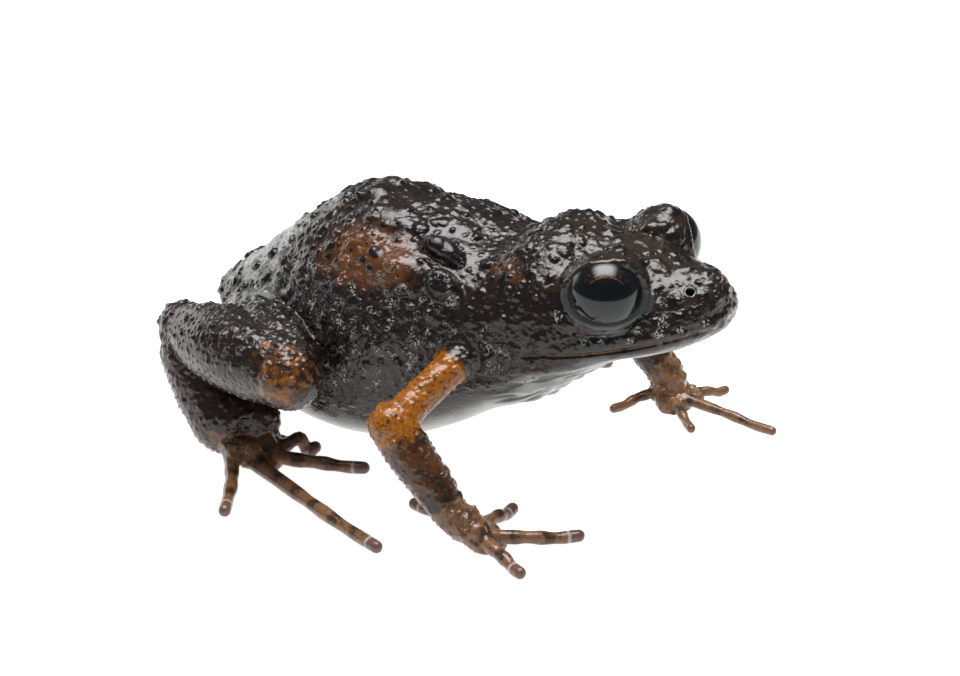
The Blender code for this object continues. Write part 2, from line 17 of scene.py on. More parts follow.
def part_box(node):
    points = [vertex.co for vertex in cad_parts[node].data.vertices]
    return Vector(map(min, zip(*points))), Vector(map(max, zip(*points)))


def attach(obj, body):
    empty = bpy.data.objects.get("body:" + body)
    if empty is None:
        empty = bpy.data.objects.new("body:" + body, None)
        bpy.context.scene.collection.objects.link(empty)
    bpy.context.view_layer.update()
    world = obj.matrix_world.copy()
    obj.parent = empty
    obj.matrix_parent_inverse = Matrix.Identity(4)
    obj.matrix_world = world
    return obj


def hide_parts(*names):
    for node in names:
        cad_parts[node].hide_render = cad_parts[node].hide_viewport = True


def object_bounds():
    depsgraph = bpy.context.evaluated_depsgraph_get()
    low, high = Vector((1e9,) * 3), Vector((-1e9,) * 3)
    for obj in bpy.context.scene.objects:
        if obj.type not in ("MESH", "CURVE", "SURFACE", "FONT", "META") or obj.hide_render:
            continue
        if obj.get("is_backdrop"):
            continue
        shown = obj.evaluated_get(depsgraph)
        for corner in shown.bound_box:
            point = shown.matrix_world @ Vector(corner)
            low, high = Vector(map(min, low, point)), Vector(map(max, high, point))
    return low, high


bl_info = {
    "name": "Landdros Moss Frog",
    "version": (1, 0, 0),
    "blender": (4, 5, 0),
    "location": "3D View > Sidebar > Moss Frog",
    "description": "Builds the wet skin, the eyes and the studio of a life-size moss frog",
    "category": "Add Mesh",
}

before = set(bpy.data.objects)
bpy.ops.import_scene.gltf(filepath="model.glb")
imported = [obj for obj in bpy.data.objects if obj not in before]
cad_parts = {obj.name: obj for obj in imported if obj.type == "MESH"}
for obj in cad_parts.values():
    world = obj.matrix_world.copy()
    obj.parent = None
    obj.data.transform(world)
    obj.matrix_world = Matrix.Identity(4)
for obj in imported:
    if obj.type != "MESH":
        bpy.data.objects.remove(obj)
PACKED_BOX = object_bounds()

MM = 0.001
FLESH = sorted(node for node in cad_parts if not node.startswith("eye"))

# The trunk, from vent to snout: x, top, underside, height of the widest line, half width,
# and how square the upper half of the section is (2 is an ellipse, less is more like a roof)
TRUNK = (
    (-9.45, 4.60, 4.20, 4.40, 0.15, 2.0),
    (-9.32, 5.05, 3.80, 4.40, 0.62, 2.0),
    (-8.95, 5.15, 3.20, 4.40, 1.10, 2.0),
    (-8.25, 5.86, 2.40, 4.35, 1.75, 2.0),
    (-7.20, 6.74, 1.25, 4.30, 2.40, 2.0),
    (-5.80, 7.96, 0.62, 4.35, 3.10, 1.9),
    (-4.40, 9.02, 0.45, 4.45, 3.75, 1.8),
    (-3.00, 9.38, 0.46, 4.60, 4.12, 1.8),
    (-1.40, 9.26, 0.72, 4.75, 4.20, 1.9),
    (0.40, 8.94, 1.52, 5.00, 4.00, 2.0),
    (2.00, 8.60, 2.46, 5.30, 3.75, 2.1),
    (3.20, 9.24, 2.92, 5.60, 3.60, 2.2),
    (4.20, 9.43, 3.58, 5.90, 3.50, 2.3),
    (5.40, 9.14, 4.58, 6.05, 3.35, 2.3),
    (6.60, 9.06, 5.32, 6.20, 3.00, 2.2),
    (7.80, 8.68, 5.66, 6.50, 2.50, 2.0),
    (8.80, 8.52, 5.98, 6.80, 1.90, 1.8),
    (9.40, 8.32, 6.32, 7.02, 1.30, 1.9),
    (9.75, 7.90, 6.58, 7.15, 0.88, 2.0),
    (9.92, 7.56, 6.84, 7.20, 0.42, 2.0),
)
BELLY_POWER = 2.2
TRUNK_RINGS, TRUNK_SIDES = 240, 128

# The eyes: centre of the right one as (x, distance from the midline, z), and which way they look
EYE_AT = (6.41, 2.40, 8.12)
EYE_FACING = (0.43, 0.85, 0.27)

# The lids: half sizes of their mass and how far back it is set, and the half angles of the opening
# between them, sideways, upwards and downwards
LIDS, LID_INSET = (1.47, 1.60, 1.60), 0.40
LID_OPENING, LOWER_OPENING = (78.0, 54.0), 45.0

# The lids' raised margin and the groove below it, each as its distance past the opening and its width;
# the groove's depth; and the distance off the eyeball within which the lids end
LID_MARGIN, LID_GROOVE, GROOVE_DEPTH = (0.16, 0.12), (0.46, 0.09), 0.06
LID_REACH = (0.42, 0.26)

# How far the skin stays off the eyeball, how far it tucks in below it inside the opening, and the
# skin that this changes, by its distance off the eyeball and the degrees from the way the eye looks
EYE_CLEARANCE, EYE_TUCK, EYE_ZONE = 0.02, 0.14, (0.9, 115)

# The rear of each brow, from which the brow slopes down: its place, how far round it, and how much
BROW_AT, BROW_REACH, BROW_DROP = (5.9, 2.2, 9.4), (1.8, 2.0, 1.2), 0.32

# Joints of the right (-1) and left (+1) limbs, as (x, distance from the midline, z)
ARMS = {
    -1: ((2.05, 2.70, 5.60), (0.56, 6.38, 3.70), (2.88, 6.52, 1.00)),
    1: ((2.60, 2.70, 5.80), (2.60, 6.29, 3.75), (4.72, 6.68, 1.22)),
}
LEGS = {
    -1: ((-7.6, 1.4, 4.1), (-3.82, 5.55, 4.28), (-9.32, 3.15, 4.10), (-7.25, 4.00, 1.40)),
    1: ((-7.6, 1.4, 4.1), (-3.85, 5.60, 4.30), (-9.00, 3.55, 3.60), (-6.80, 4.35, 1.45)),
}

# Each length of a limb: its radii from the root outwards, and how far its middle bows forwards,
# outwards and upwards
LIMB_FORMS = {
    "upper_arm": ((0.80, 0.64, 0.58, 0.60, 0.74), (0.0, 0.0, 0.12)),
    "forearm": ((0.80, 0.78, 0.74, 0.68, 0.60), (-0.05, 0.05, 0.05)),
    "hand": ((0.62, 0.62, 0.46), (0.0, 0.0, 0.0)),
    "thigh": ((1.10, 1.35, 1.42, 1.38, 1.15), (0.0, 0.0, 0.25)),
    "shank": ((1.10, 1.32, 1.42, 1.24, 0.84), (0.0, 0.15, 0.10)),
    "tarsus": ((0.92, 1.14, 1.16, 1.20, 1.28), (-0.10, 0.10, -0.10)),
    "foot": ((1.28, 1.16, 0.55), (0.28, -0.32, 0.15)),
}

# Digits: where each leaves the palm or sole, a bend on the way with its height, and its tip
FINGERS = {
    -1: (
        ((3.10, 6.10), (1.95, 5.40, 0.30), (0.31, 4.82)),
        ((3.55, 6.00), (3.68, 4.88, 0.38), (3.78, 3.52)),
        ((4.15, 6.40), (5.35, 5.65, 0.34), (6.83, 4.40)),
        ((4.25, 6.85), (5.20, 7.38, 0.32), (6.28, 8.05)),
    ),
    1: (
        ((4.48, 6.52), (3.98, 5.90, 0.34), (3.38, 4.74)),
        ((5.10, 6.30), (5.92, 5.44, 0.34), (6.80, 4.48)),
        ((5.52, 6.45), (7.46, 6.12, 0.32), (9.50, 5.74)),
        ((5.35, 6.90), (6.06, 7.58, 0.34), (6.58, 8.38)),
    ),
}
TOES = {
    -1: (
        ((-6.05, 3.55), (-5.75, 2.90, 0.34), (-5.20, 2.25)),
        ((-5.35, 3.65), (-4.85, 3.15, 0.72), (-4.12, 2.72)),
        ((-4.95, 4.25), (-3.62, 3.75, 0.30), (-1.92, 3.15)),
        ((-5.20, 5.20), (-2.12, 6.84, 0.32), (1.24, 8.44)),
        ((-6.45, 5.05), (-5.62, 6.50, 0.34), (-4.75, 8.55)),
    ),
    1: (
        ((-5.50, 3.90), (-5.20, 3.25, 0.34), (-4.65, 2.60)),
        ((-4.80, 4.00), (-4.25, 3.50, 0.60), (-3.50, 3.05)),
        ((-4.40, 4.70), (-3.00, 4.30, 0.30), (-1.25, 3.80)),
        ((-4.65, 5.50), (-1.55, 7.05, 0.32), (1.90, 8.70)),
        ((-5.90, 5.40), (-5.10, 6.85, 0.34), (-4.20, 8.85)),
    ),
}

# Radius of the digits on each side, and how it swells and narrows from the root to the tip
DIGIT_RADII = {"finger": {-1: 0.23, 1: 0.18}, "toe": {-1: 0.24, 1: 0.24}}
DIGIT_FORM = (1.60, 1.25, 1.05, 1.12, 0.92, 1.08, 0.88, 0.96, 0.92)

# Height of a digit's tip and of its root, how near the root it starts from the joint above, and how
# many times its radius its axis ends short of the tip
DIGIT_REST, ROOT_HEIGHT, ROOT_SHARE, TIP_SETBACK = 0.18, 0.58, 0.72, 1.4

# Markings of a digit, by distance from its tip: where the dark tip ends, how wide the pale ring is,
# where the bars start and how far apart they are; and how strong tip and ring are on the left fingers
TIP_END, RING_WIDTH = (0.60, 0.40), 0.09
BAR_START, BAR_SPACING = 0.75, 1.15
FAINT_TIPS = 0.45

# Half sizes of the palms and soles, how tan each is, and the middle and half sizes of the skin between
# the left fingers
PALM, SOLE, PAD_TAN = (1.00, 0.80, 0.46), (1.35, 1.20, 0.44), (0.75, 0.55)
WEB_AT, WEB = (5.15, 6.72, 0.38), (1.05, 0.75, 0.37)

# Arms and legs: their joints, lengths, digits and pad, how high the pad's middle is as a share of its
# half height, and how far it is drawn up to the joint above
LIMB_SETS = (
    (ARMS, ("upper_arm", "forearm", "hand"), "finger", FINGERS, PALM, 0.9, 0.0),
    (LEGS, ("thigh", "shank", "tarsus", "foot"), "toe", TOES, SOLE, 1.1, 0.3),
)

# Sides of the limbs' and the digits' tubes, and the angles of the rings on their round ends
LIMB_SIDES, DIGIT_SIDES = 32, 20
CAP_TURNS = (84, 66, 48, 30, 14)

# Warts that show one by one: x, angle up from the widest line in degrees, half length, half width,
# height, and how far the long way turns down the flank in degrees
GREAT_WARTS = (
    (0.75, 39.5, 0.80, 0.54, 0.42, 30.0),
    (0.30, 57.5, 0.96, 0.42, 0.36, 30.0),
    (-0.60, 34.0, 0.34, 0.24, 0.14, 0.0),
    (-8.35, 82.0, 0.40, 0.34, 0.22, 0.0),
    (-7.30, 51.0, 0.20, 0.17, 0.10, 0.0),
    (-6.68, 57.0, 0.28, 0.24, 0.12, 20.0),
    (-5.98, 61.0, 0.24, 0.17, 0.10, 40.0),
    (-5.90, 46.0, 0.24, 0.15, 0.10, 70.0),
    (-7.55, 33.0, 0.16, 0.13, 0.08, 0.0),
    (-8.20, 39.0, 0.18, 0.12, 0.08, 60.0),
)

# Warts further up than this, in degrees, stand on the left side only; and how high the left ones are
# beside the right ones
ONE_SIDED, LEFT_SHARE = 80.0, 0.5

# Low swellings that carry them: x, angle up from the widest line, half length, half width, height
SWELLINGS = (
    (-0.90, 43.0, 1.8, 1.0, 0.28),
    (-2.20, 68.0, 1.1, 0.9, 0.16),
    (-3.05, 80.0, 0.9, 0.8, 0.28),
)

# The nostrils: place, radius and depth, and the radius, width and height of their rims
NOSTRIL_X, NOSTRIL_ANGLE = 8.88, 51.0
NOSTRIL_RADIUS, NOSTRIL_DEPTH = 0.13, 0.24
NOSTRIL_RIM, RIM_HEIGHT = (0.1785, 0.035), 0.055

# The mouth: the x of its corners, its line as (x, z), the widths of its groove and of its colour, and
# the swelling of the upper lip, as its distance above the line, its width and its height
MOUTH_CORNER_X = 3.9
MOUTH_LINE = (
    (3.5, 5.70), (5.2, 5.95), (6.5, 6.16), (7.4, 6.35), (8.2, 6.53), (9.1, 6.74), (9.5, 6.82), (9.9, 6.98)
)
MOUTH_WIDTH, MOUTH_COLOUR_WIDTH = 0.07, 0.06
UPPER_LIP, LIP_HEIGHT = (0.24, 0.16), 0.05

# Small warts: spacing, smallest and largest radius, height for the radius, mask that places them, seed
WART_KINDS = (
    (0.85, 0.20, 0.38, 0.34, "warty", 11),
    (0.44, 0.11, 0.20, 0.38, "knobbly", 12),
    (0.21, 0.060, 0.10, 0.45, "grainy", 13),
)
DARK_WART_SHARE = 0.4

# Folds and crumples of the skin: width of the lumps along the body, across it and upwards, their
# depth, the mask that places them, seed
CRUMPLES = (
    (1.40, 0.80, 0.80, 0.110, "folded", 21),
    (0.60, 0.45, 0.45, 0.040, "folded", 22),
    (0.26, 0.26, 1.30, 0.040, "streaked", 23),
    (1.80, 0.30, 0.30, 0.130, "pleated", 24),
    (0.15, 0.15, 0.15, 0.012, "rough", 25),
)

# Rusty patches of the flank and neck, and patches where the skin is smooth: their middle as (x,
# distance from the midline, z), half sizes and strength
RUST_PATCHES = (
    ((-2.2, 2.9, 8.0), (3.3, 2.0, 1.8), 0.85),
    ((2.4, 2.6, 8.3), (2.0, 1.1, 0.7), 0.7),
)
SMOOTH_PATCHES = (
    ((-0.75, 2.5, 8.25), (1.5, 0.85, 0.75), 0.95),
    ((-2.5, 1.4, 9.1), (1.3, 0.8, 0.6), 0.7),
    ((8.0, 0.9, 8.4), (1.1, 0.8, 0.7), 0.8),
    ((6.5, 0.4, 9.0), (1.3, 0.9, 0.7), 0.8),
)

# The amber patch of each knee: how far it lies from the right knee's joint, its radius and strength
KNEE_PATCH, KNEE_RADIUS, KNEE_AMBER = (0.2, 0.7, 0.3), 1.8, 0.5

# The masks that the skin's material reads; the others only steer the shapes
SHOWN_MASKS = (
    "everywhere", "wart", "lid", "hole", "pearly_and_highlight", "rust", "amber", "tan", "pale", "band", "olive", "speck_and_glint",
    "bar", "mouth", "rough", "limb", "tip", "heel", "crease_shade",
)
MASKS = (*SHOWN_MASKS, "thin", "smooth", "warty", "knobbly", "grainy", "folded", "streaked", "pleated")

# Orange spots on the legs and the belly's edge: x, distance from the midline, z, radius
SPOTS = (
    (-4.55, 5.76, 5.35, 0.14),
    (-9.66, 3.87, 3.83, 0.12),
    (-9.30, 3.30, 2.60, 0.12),
    (-2.63, 3.38, 2.30, 0.10),
    (-8.35, 0.25, 5.85, 0.30),
    (-5.95, 5.95, 0.50, 0.60),
    (-3.95, 6.00, 0.40, 0.50),
)

# Clusters of pale grains along the upper lip and under the eye, whose pale specks are partly
# painted glints of the wet grains: x, distance from the midline, z, radius
LIP_SPECKS_AND_GLINTS = (
    (5.04, 3.18, 7.31, 0.22),
    (6.01, 3.20, 6.61, 0.17),
    (6.60, 3.01, 6.69, 0.19),
    (7.46, 2.69, 6.66, 0.17),
    (8.30, 2.24, 6.93, 0.22),
    (8.38, 2.05, 7.30, 0.26),
    (8.88, 1.84, 7.07, 0.17),
    (9.49, 1.20, 7.15, 0.17),
    (6.56, 3.16, 7.13, 0.14),
    (7.66, 2.50, 7.05, 0.16),
)

# The skin's colours from the ground up: the mask that places each, the colour, the width in mm of
# the lumps that break its edge, how ragged they make it, and the mask's values at which it starts
# and is full. The mask called everywhere is 0 on the whole skin, so the lumps alone place its layers.
SKIN_LAYERS = (
    ("everywhere", "soot", 0.9, 1.0, 0.00, 0.10),
    ("everywhere", "bark", 0.22, 1.0, 0.04, 0.16),
    ("olive", "olive", 0.5, 1.8, 0.50, 1.15),
    ("rust", "rust", 0.55, 1.8, 0.20, 1.10),
    ("rust", "ochre", 0.25, 2.4, 0.85, 1.75),
    ("rust", "rose", 0.11, 2.2, 1.00, 1.40),
    ("amber", "amber", 0.30, 1.5, 0.25, 0.95),
    ("heel", "cocoa", 0.50, 1.0, 0.20, 0.90),
    ("tan", "tan", 0.35, 1.6, 0.25, 0.90),
    ("tan", "amber", 1.00, 3.0, 1.10, 1.80),
    ("everywhere", "soot", 0.11, 1.0, 0.08, 0.20),
    ("limb", "bark", 0.16, 1.0, 1.05, 1.22),
    ("bar", "bark", 0.30, 1.6, 0.50, 1.00),
    ("amber", "bark", 0.20, 2.6, 1.05, 1.45),
    ("tip", "plum", 0.30, 0.6, 0.20, 0.80),
    ("band", "maroon", 0.5, 0.6, 0.30, 0.60),
    # Pale belly and throat, and a painted sheen on the rump
    ("pale", "slate_and_rump_sheen", 0.8, 0.6, 0.25, 0.95),
    # Painted shade in the throat's creases
    ("crease_shade", "shade_and_reflection_grey", 0.3, 0.6, 0.15, 0.75),
    # Painted reflection of the floor on the lower lids
    ("lid", "shade_and_reflection_grey", 0.3, 0.4, 0.25, 0.75),
    ("mouth", "rust", 0.4, 0.8, 0.45, 0.95),
    ("wart", "soot", 0.2, 0.5, 0.35, 0.80),
    # Pale rings of the digits, and a painted highlight on the nostrils' rims
    ("pearly_and_highlight", "pearl_and_glint", 0.12, 1.4, 0.45, 0.95),
    # Painted shade inside the nostrils
    ("hole", "soot", 0.2, 0.1, 0.40, 0.60),
)

# Pale specks, partly pigment and partly painted glints of the wet grains: the width of their clusters
# and of each speck, and the values of the noise at which clusters and specks start and are full
SPECK_AND_GLINT_WIDTHS, SPECK_AND_GLINT_EDGES = (0.40, 0.08), ((1.18, 1.38), (0.53, 0.59))

# Relief too fine for the mesh: the width of its grains and wrinkles, its depth, and the share of it
# that smooth and rough skin show
RELIEF_WIDTHS, RELIEF_DEPTH, RELIEF_SHARES = (0.13, 0.07), 0.035, (0.26, 0.8)

# Half the pupil's width and height, and how far the cornea bulges as a share of the radius
PUPIL = (0.70, 0.62)
CORNEA_RISE = 0.018

# The copper lines of the iris, a fine ring and a fainter one: where each starts and ends going out, as
# shares of the pupil's size, and the values of the noise that breaks it; the size of the broken bits,
# and how high above the middle of the eye the lines begin to show
IRIS_LINES = (
    ((1.00, 1.015), (1.06, 1.045), (0.38, 0.50)),
    ((1.08, 1.14), (1.55, 1.20), (0.60, 0.66)),
)
IRIS_STREAK, IRIS_ABOVE = (0.11, 0.030, 0.11), (0.38, 0.56)

# Sockets of the Mix node when it mixes colours
MIX_FACTOR, MIX_A, MIX_B, MIX_RESULT = 0, 6, 7, 2

# The floor, in metres, and its glow: strength, colour, and where it starts to fall off and ends
FLOOR_RADIUS, BACKDROP_START, BACKDROP_HEIGHT = 1.2, 0.35, 0.55
FLOOR_RINGS, FLOOR_SECTORS = 40, 72
FLOOR_GLOW, GLOW_COLOUR, GLOW_REACH = 0.95, (1.0, 1.0, 0.995, 1.0), (0.08, 0.20)

# Clouds in the floor's sheet: how wide they are, in mm, and how much of the colour they leave
CLOUD_WIDTH, CLOUD_SHADE = 40.0, 0.97

# The softbox, how far it hangs above the frog and behind it as the camera sees it, and a side panel,
# in metres and as radiance; and the light of the room
SOFTBOX_SPREAD, SOFTBOX_HEIGHT, SOFTBOX_BEHIND, SOFTBOX_RADIANCE = (0.205, 0.157), 0.16, 0.015, 11.5
PANEL_SPREAD, PANEL_AT, PANEL_RADIANCE = (0.20, 0.12), (-0.16, 0.06, 0.04), 2.2
ROOM_COLOUR, ROOM_RADIANCE = (0.75, 0.88, 1.0, 1.0), 0.18

# How much of each side of a softbox its soft edge takes, and the spot that the softboxes face
EDGE_FADE = 0.36
FROG_HEART = Vector((0.0, 0.0, 0.005))

# The photograph's camera: where it looks, its direction in degrees from the frog's right side towards
# the snout and upwards, how far away it is, its lens and its sensor
LOOKS_AT = (0.25, 0.75, 4.0)
AZIMUTH, ELEVATION = 26.5, 24.0
DISTANCE = 125.0
LENS, SENSOR_WIDTH = 135.0, 36.0


def size(name, description, millimetres):
    """A length that a user can change."""
    return FloatProperty(
        name=name, description=description, default=millimetres * MM, min=0.0, precision=6, unit="LENGTH"
    )


def linear(hex_colour):
    """An sRGB hex colour as linear red, green and blue."""
    parts = [int(hex_colour[k : k + 2], 16) / 255 for k in (1, 3, 5)]
    return tuple(p / 12.92 if p <= 0.04045 else ((p + 0.055) / 1.055) ** 2.4 for p in parts)


def colour(name, description, hex_colour):
    """A colour that a user can change."""
    return FloatVectorProperty(
        name=name, description=description, default=linear(hex_colour), subtype="COLOR", min=0.0, max=1.0
    )


class FrogSizes(bpy.types.PropertyGroup):
    """Lengths of the skin and the eyes."""

    grain: size("Grain", "Distance between the points of the skin", 0.05)
    quick_grain: size("Quick grain", "The same while trying things", 0.075)
    eye_radius: size("Eye radius", "Radius of each eyeball", 1.27)
    lid_rise: size("Lid rise", "How far the margin of the lids stands off the eyeball", 0.07)
    lip_groove: size("Mouth depth", "Depth of the line of the mouth", 0.09)
    ring_from_tip: size("Ring place", "Distance of a digit's pale ring from its tip", 0.58)


class FrogColours(bpy.types.PropertyGroup):
    """Colours of the skin, the eyes and the studio."""

    umber: colour("Umber", "Ground colour of the back", "#1F1610")
    soot: colour("Soot", "Dark blotches and warts", "#120B0A")
    bark: colour("Bark", "Lighter brown mottling of the back", "#3B281B")
    rust: colour("Rust", "Rusty patches on the flank and behind the eye", "#5A3216")
    ochre: colour("Ochre", "Lighter cores of the rusty patches", "#8A5A1E")
    rose: colour("Rose", "Fine warm dots on the rusty patches", "#9A7464")
    plum: colour("Plum", "Tips of the digits", "#674A40")
    cocoa: colour("Cocoa", "Heels and hind feet", "#2C1A13")
    olive: colour("Olive", "Brown of the crown and snout", "#2B2115")
    maroon: colour("Maroon", "Smooth band from the eye to the shoulder", "#1D1010")
    amber: colour("Amber", "Upper arm, elbow and knee", "#93550E")
    tan: colour("Tan", "Hands, feet and digits", "#78553A")
    # Slate is the pale belly and throat, and also a painted sheen on the rump
    slate_and_rump_sheen: colour("Slate", "Belly and throat", "#8A8B86")
    # Painted shade in the throat's creases and a painted reflection of the floor on the lower lids
    shade_and_reflection_grey: colour("Lead", "Creases of the throat and the lower lids", "#3C3D3C")
    # Pearl is the pale rings of the digits, and also painted glints on the specks and a painted highlight on
    # the nostrils' rims
    pearl_and_glint: colour("Pearl", "Fine pale specks and the rings of the digits", "#A09E9A")
    pupil: colour("Pupil", "Pupil and dark iris", "#06080A")
    copper: colour("Copper", "Fine lines of the iris", "#875227")
    floor: colour("Floor", "Floor and backdrop", "#B3B3B2")


def settings():
    """The sizes and colours of the scene."""
    scene = bpy.context.scene
    return scene.moss_frog_sizes, scene.moss_frog_colours


# Shapes


def catmull_rom(rows, steps):
    """Points on a smooth curve through the rows, each row a tuple of numbers."""
    rows = np.asarray(rows, float)
    ends = np.vstack([2 * rows[0] - rows[1], rows, 2 * rows[-1] - rows[-2]])
    made = []
    for i in range(len(rows) - 1):
        a, b, c, d = ends[i : i + 4]
        for t in np.linspace(0, 1, steps, endpoint=False):
            made.append(
                0.5 * (2 * b + (c - a) * t + (2 * a - 5 * b + 4 * c - d) * t * t
                       + (3 * b - a - 3 * c + d) * t**3)
            )
    made.append(rows[-1])
    return np.array(made)


TRUNK_CURVE = catmull_rom(TRUNK, 12)


def fade(value, low, high):
    """0 below low, 1 above high, and smooth between; high may be the lower of the two."""
    share = np.clip((np.asarray(value, float) - low) / (high - low), 0.0, 1.0)
    return share * share * (3 - 2 * share)


def ridge(distance, middle, width):
    """1 where the distance is that of the middle, and close to 0 at twice the width from there."""
    return np.exp(-(((distance - middle) / width) ** 2))


def trunk_section(x):
    """Top, underside, widest height, half width and squareness of the trunk at x."""
    return [np.interp(x, TRUNK_CURVE[:, 0], TRUNK_CURVE[:, k]) for k in range(1, 6)]


def trunk_point(x, angle):
    """Points of the trunk's surface at x, angle radians up from the left side."""
    top, bottom, middle, half, power = trunk_section(x)
    up = np.sin(angle)
    across = np.cos(angle)
    reach = np.where(up >= 0, top - middle, middle - bottom)
    square = np.where(up >= 0, power, BELLY_POWER)
    y = half * np.sign(across) * np.abs(across) ** (2 / square)
    z = middle + reach * np.sign(up) * np.abs(up) ** (2 / square)
    return np.stack(np.broadcast_arrays(x, y, z), axis=-1)


def trunk_place(x, degrees, side):
    """The point of the trunk at x, so many degrees up from the widest line of the left or right."""
    angle = math.radians(degrees if side > 0 else 180 - degrees)
    return trunk_point(np.array(x), np.array(angle))


def on_side(point, side):
    """A point given as (x, distance from the midline, z), on the left (+1) or right (-1)."""
    return Vector((point[0], point[1] * side, point[2]))


def frog_shift():
    """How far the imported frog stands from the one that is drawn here, in metres."""
    low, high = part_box("eye_right")
    return (low + high) / 2 - eye_centre(-1) * MM


def linked(name, data):
    """A new object with this data, in the scene."""
    made = bpy.data.objects.new(name, data)
    bpy.context.scene.collection.objects.link(made)
    return made


def mesh_object(name, points, faces):
    """A mesh object made of these points and faces."""
    mesh = bpy.data.meshes.new(name)
    mesh.from_pydata([tuple(p) for p in points], [], faces)
    return linked(name, mesh)


def mesh_from(work, name):
    """New mesh data from a bmesh, which is freed."""
    mesh = bpy.data.meshes.new(name)
    work.to_mesh(mesh)
    work.free()
    return mesh


def trunk_body():
    """The trunk with the head, as one loft from vent to snout."""
    start, end = TRUNK[0][0], TRUNK[-1][0]
    share = (1 - np.cos(np.linspace(0, math.pi, TRUNK_RINGS))) / 2
    stations = start + (end - start) * share
    angles = np.linspace(0, math.tau, TRUNK_SIDES, endpoint=False)
    points = trunk_point(stations[:, None], angles[None, :]).reshape(-1, 3)
    faces = []
    for ring in range(TRUNK_RINGS - 1):
        for k in range(TRUNK_SIDES):
            a, b = ring * TRUNK_SIDES + k, ring * TRUNK_SIDES + (k + 1) % TRUNK_SIDES
            faces.append((a, a + TRUNK_SIDES, b + TRUNK_SIDES, b))
    last = (TRUNK_RINGS - 1) * TRUNK_SIDES
    faces.append(tuple(range(TRUNK_SIDES)))
    faces.append(tuple(reversed(range(last, last + TRUNK_SIDES))))
    return mesh_object("trunk", points, faces)


class Limb:
    """A length of a limb: the points of its axis, its radius at each, and what it is called."""

    def __init__(self, kind, side, points, radii, steps=8):
        self.kind, self.side = kind, side
        self.spine = catmull_rom([tuple(p) for p in points], steps)
        steps_long = np.linalg.norm(np.diff(self.spine, axis=0), axis=1)
        self.along = np.concatenate([[0], np.cumsum(steps_long)])
        given = catmull_rom([(r, 0) for r in radii], 6)[:, 0]
        self.radii = np.interp(self.along / self.along[-1], np.linspace(0, 1, len(given)), given)
        self.length = self.along[-1]

    def body(self, sides):
        """The limb as a curve object with round ends and this many sides."""
        ways = {0: self.spine[0] - self.spine[1], -1: self.spine[-1] - self.spine[-2]}
        caps = {0: [], -1: []}
        for end, way in ways.items():
            way = way / np.linalg.norm(way)
            for turn in CAP_TURNS:
                rise = math.radians(turn)
                radius = self.radii[end]
                middle = self.spine[end] + way * radius * math.sin(rise)
                caps[end].append((*middle, radius * math.cos(rise)))
        rows = [*caps[0], *((*p, r) for p, r in zip(self.spine, self.radii)), *reversed(caps[-1])]
        curve = bpy.data.curves.new(self.kind, "CURVE")
        curve.dimensions = "3D"
        curve.bevel_depth = 1.0
        curve.bevel_resolution = (sides - 4) // 2
        curve.use_fill_caps = True
        spline = curve.splines.new("POLY")
        spline.points.add(len(rows) - 1)
        for point, (x, y, z, radius) in zip(spline.points, rows):
            point.co = (x, y, z, 1.0)
            point.radius = radius
        return linked(self.kind, curve)


def pad_middle(joint, digits, half_sizes, height, rise, side):
    """The middle of a palm or sole: between the roots of its digits, and drawn up to the joint."""
    flat = np.mean([root for root, _, _ in digits], axis=0)
    return on_side((*flat, half_sizes[2] * height), side).lerp(joint, rise)


def plain_limb(kind, first, second, side):
    """A length of a limb from one joint to the next, with its middle bowed."""
    radii, bow = LIMB_FORMS[kind]
    return Limb(kind, side, (first, (first + second) / 2 + on_side(bow, side), second), radii)


def digit_limb(kind, joint, root, bend, tip, side, radius):
    """A finger or toe that comes down to the floor."""
    start = joint.lerp(on_side((*root, ROOT_HEIGHT), side), ROOT_SHARE)
    knuckle = on_side((*root, ROOT_HEIGHT * 0.8), side)
    bend = on_side(bend, side)
    tip = on_side((*tip, DIGIT_REST), side)
    end = tip - (tip - bend).normalized() * radius * TIP_SETBACK
    outer = bend.lerp(end, 0.55)
    outer.z = DIGIT_REST * 1.15
    radii = [radius * k for k in DIGIT_FORM]
    return Limb(kind, side, (start, knuckle, bend, outer, end), radii, 6)


def all_limbs():
    """Every length of the four limbs and their digits, from the tables."""
    made = []
    for side, (joints, kinds, digit, digits, *pad) in itertools.product((-1, 1), LIMB_SETS):
        places = [on_side(joint, side) for joint in joints[side]]
        last = places[-1]
        places.append(pad_middle(last, digits[side], *pad, side))
        for kind, first, second in zip(kinds, places, places[1:]):
            made.append(plain_limb(kind, first, second, side))
        for root, bend, tip in digits[side]:
            made.append(digit_limb(digit, last, root, bend, tip, side, DIGIT_RADII[digit][side]))
    return made


def upright_on(normal, along=(1.0, 0.0, 0.0)):
    """A rotation whose z lies along normal and whose x is as near to along as it can be."""
    up = Vector(normal).normalized()
    ahead = Vector(along) - up * Vector(along).dot(up)
    ahead.normalize()
    side = up.cross(ahead)
    return Matrix((ahead, side, up)).transposed()


def ball(name, centre, half_sizes, turn):
    """An ellipsoid turned by a rotation matrix."""
    work = bmesh.new()
    bmesh.ops.create_uvsphere(work, u_segments=48, v_segments=24, radius=1.0)
    place = Matrix.Translation(Vector(centre)) @ turn.to_4x4() @ Matrix.Diagonal((*half_sizes, 1.0))
    bmesh.ops.transform(work, matrix=place, verts=work.verts)
    return linked(name, mesh_from(work, name))


def pad_places():
    """The middle, half sizes and turn of each palm and sole, and of the skin between the left fingers.

    The palms and soles slope down from the joint above.
    """
    for side, (joints, _, _, digits, *pad) in itertools.product((-1, 1), LIMB_SETS):
        joint = on_side(joints[side][-1], side)
        middle = pad_middle(joint, digits[side], *pad, side)
        slope = middle - joint
        normal = slope.cross(Vector((0, 0, 1))).cross(slope)
        yield middle, pad[0], upright_on(normal, slope)
    yield on_side(WEB_AT, 1), WEB, upright_on((0, 0, 1))


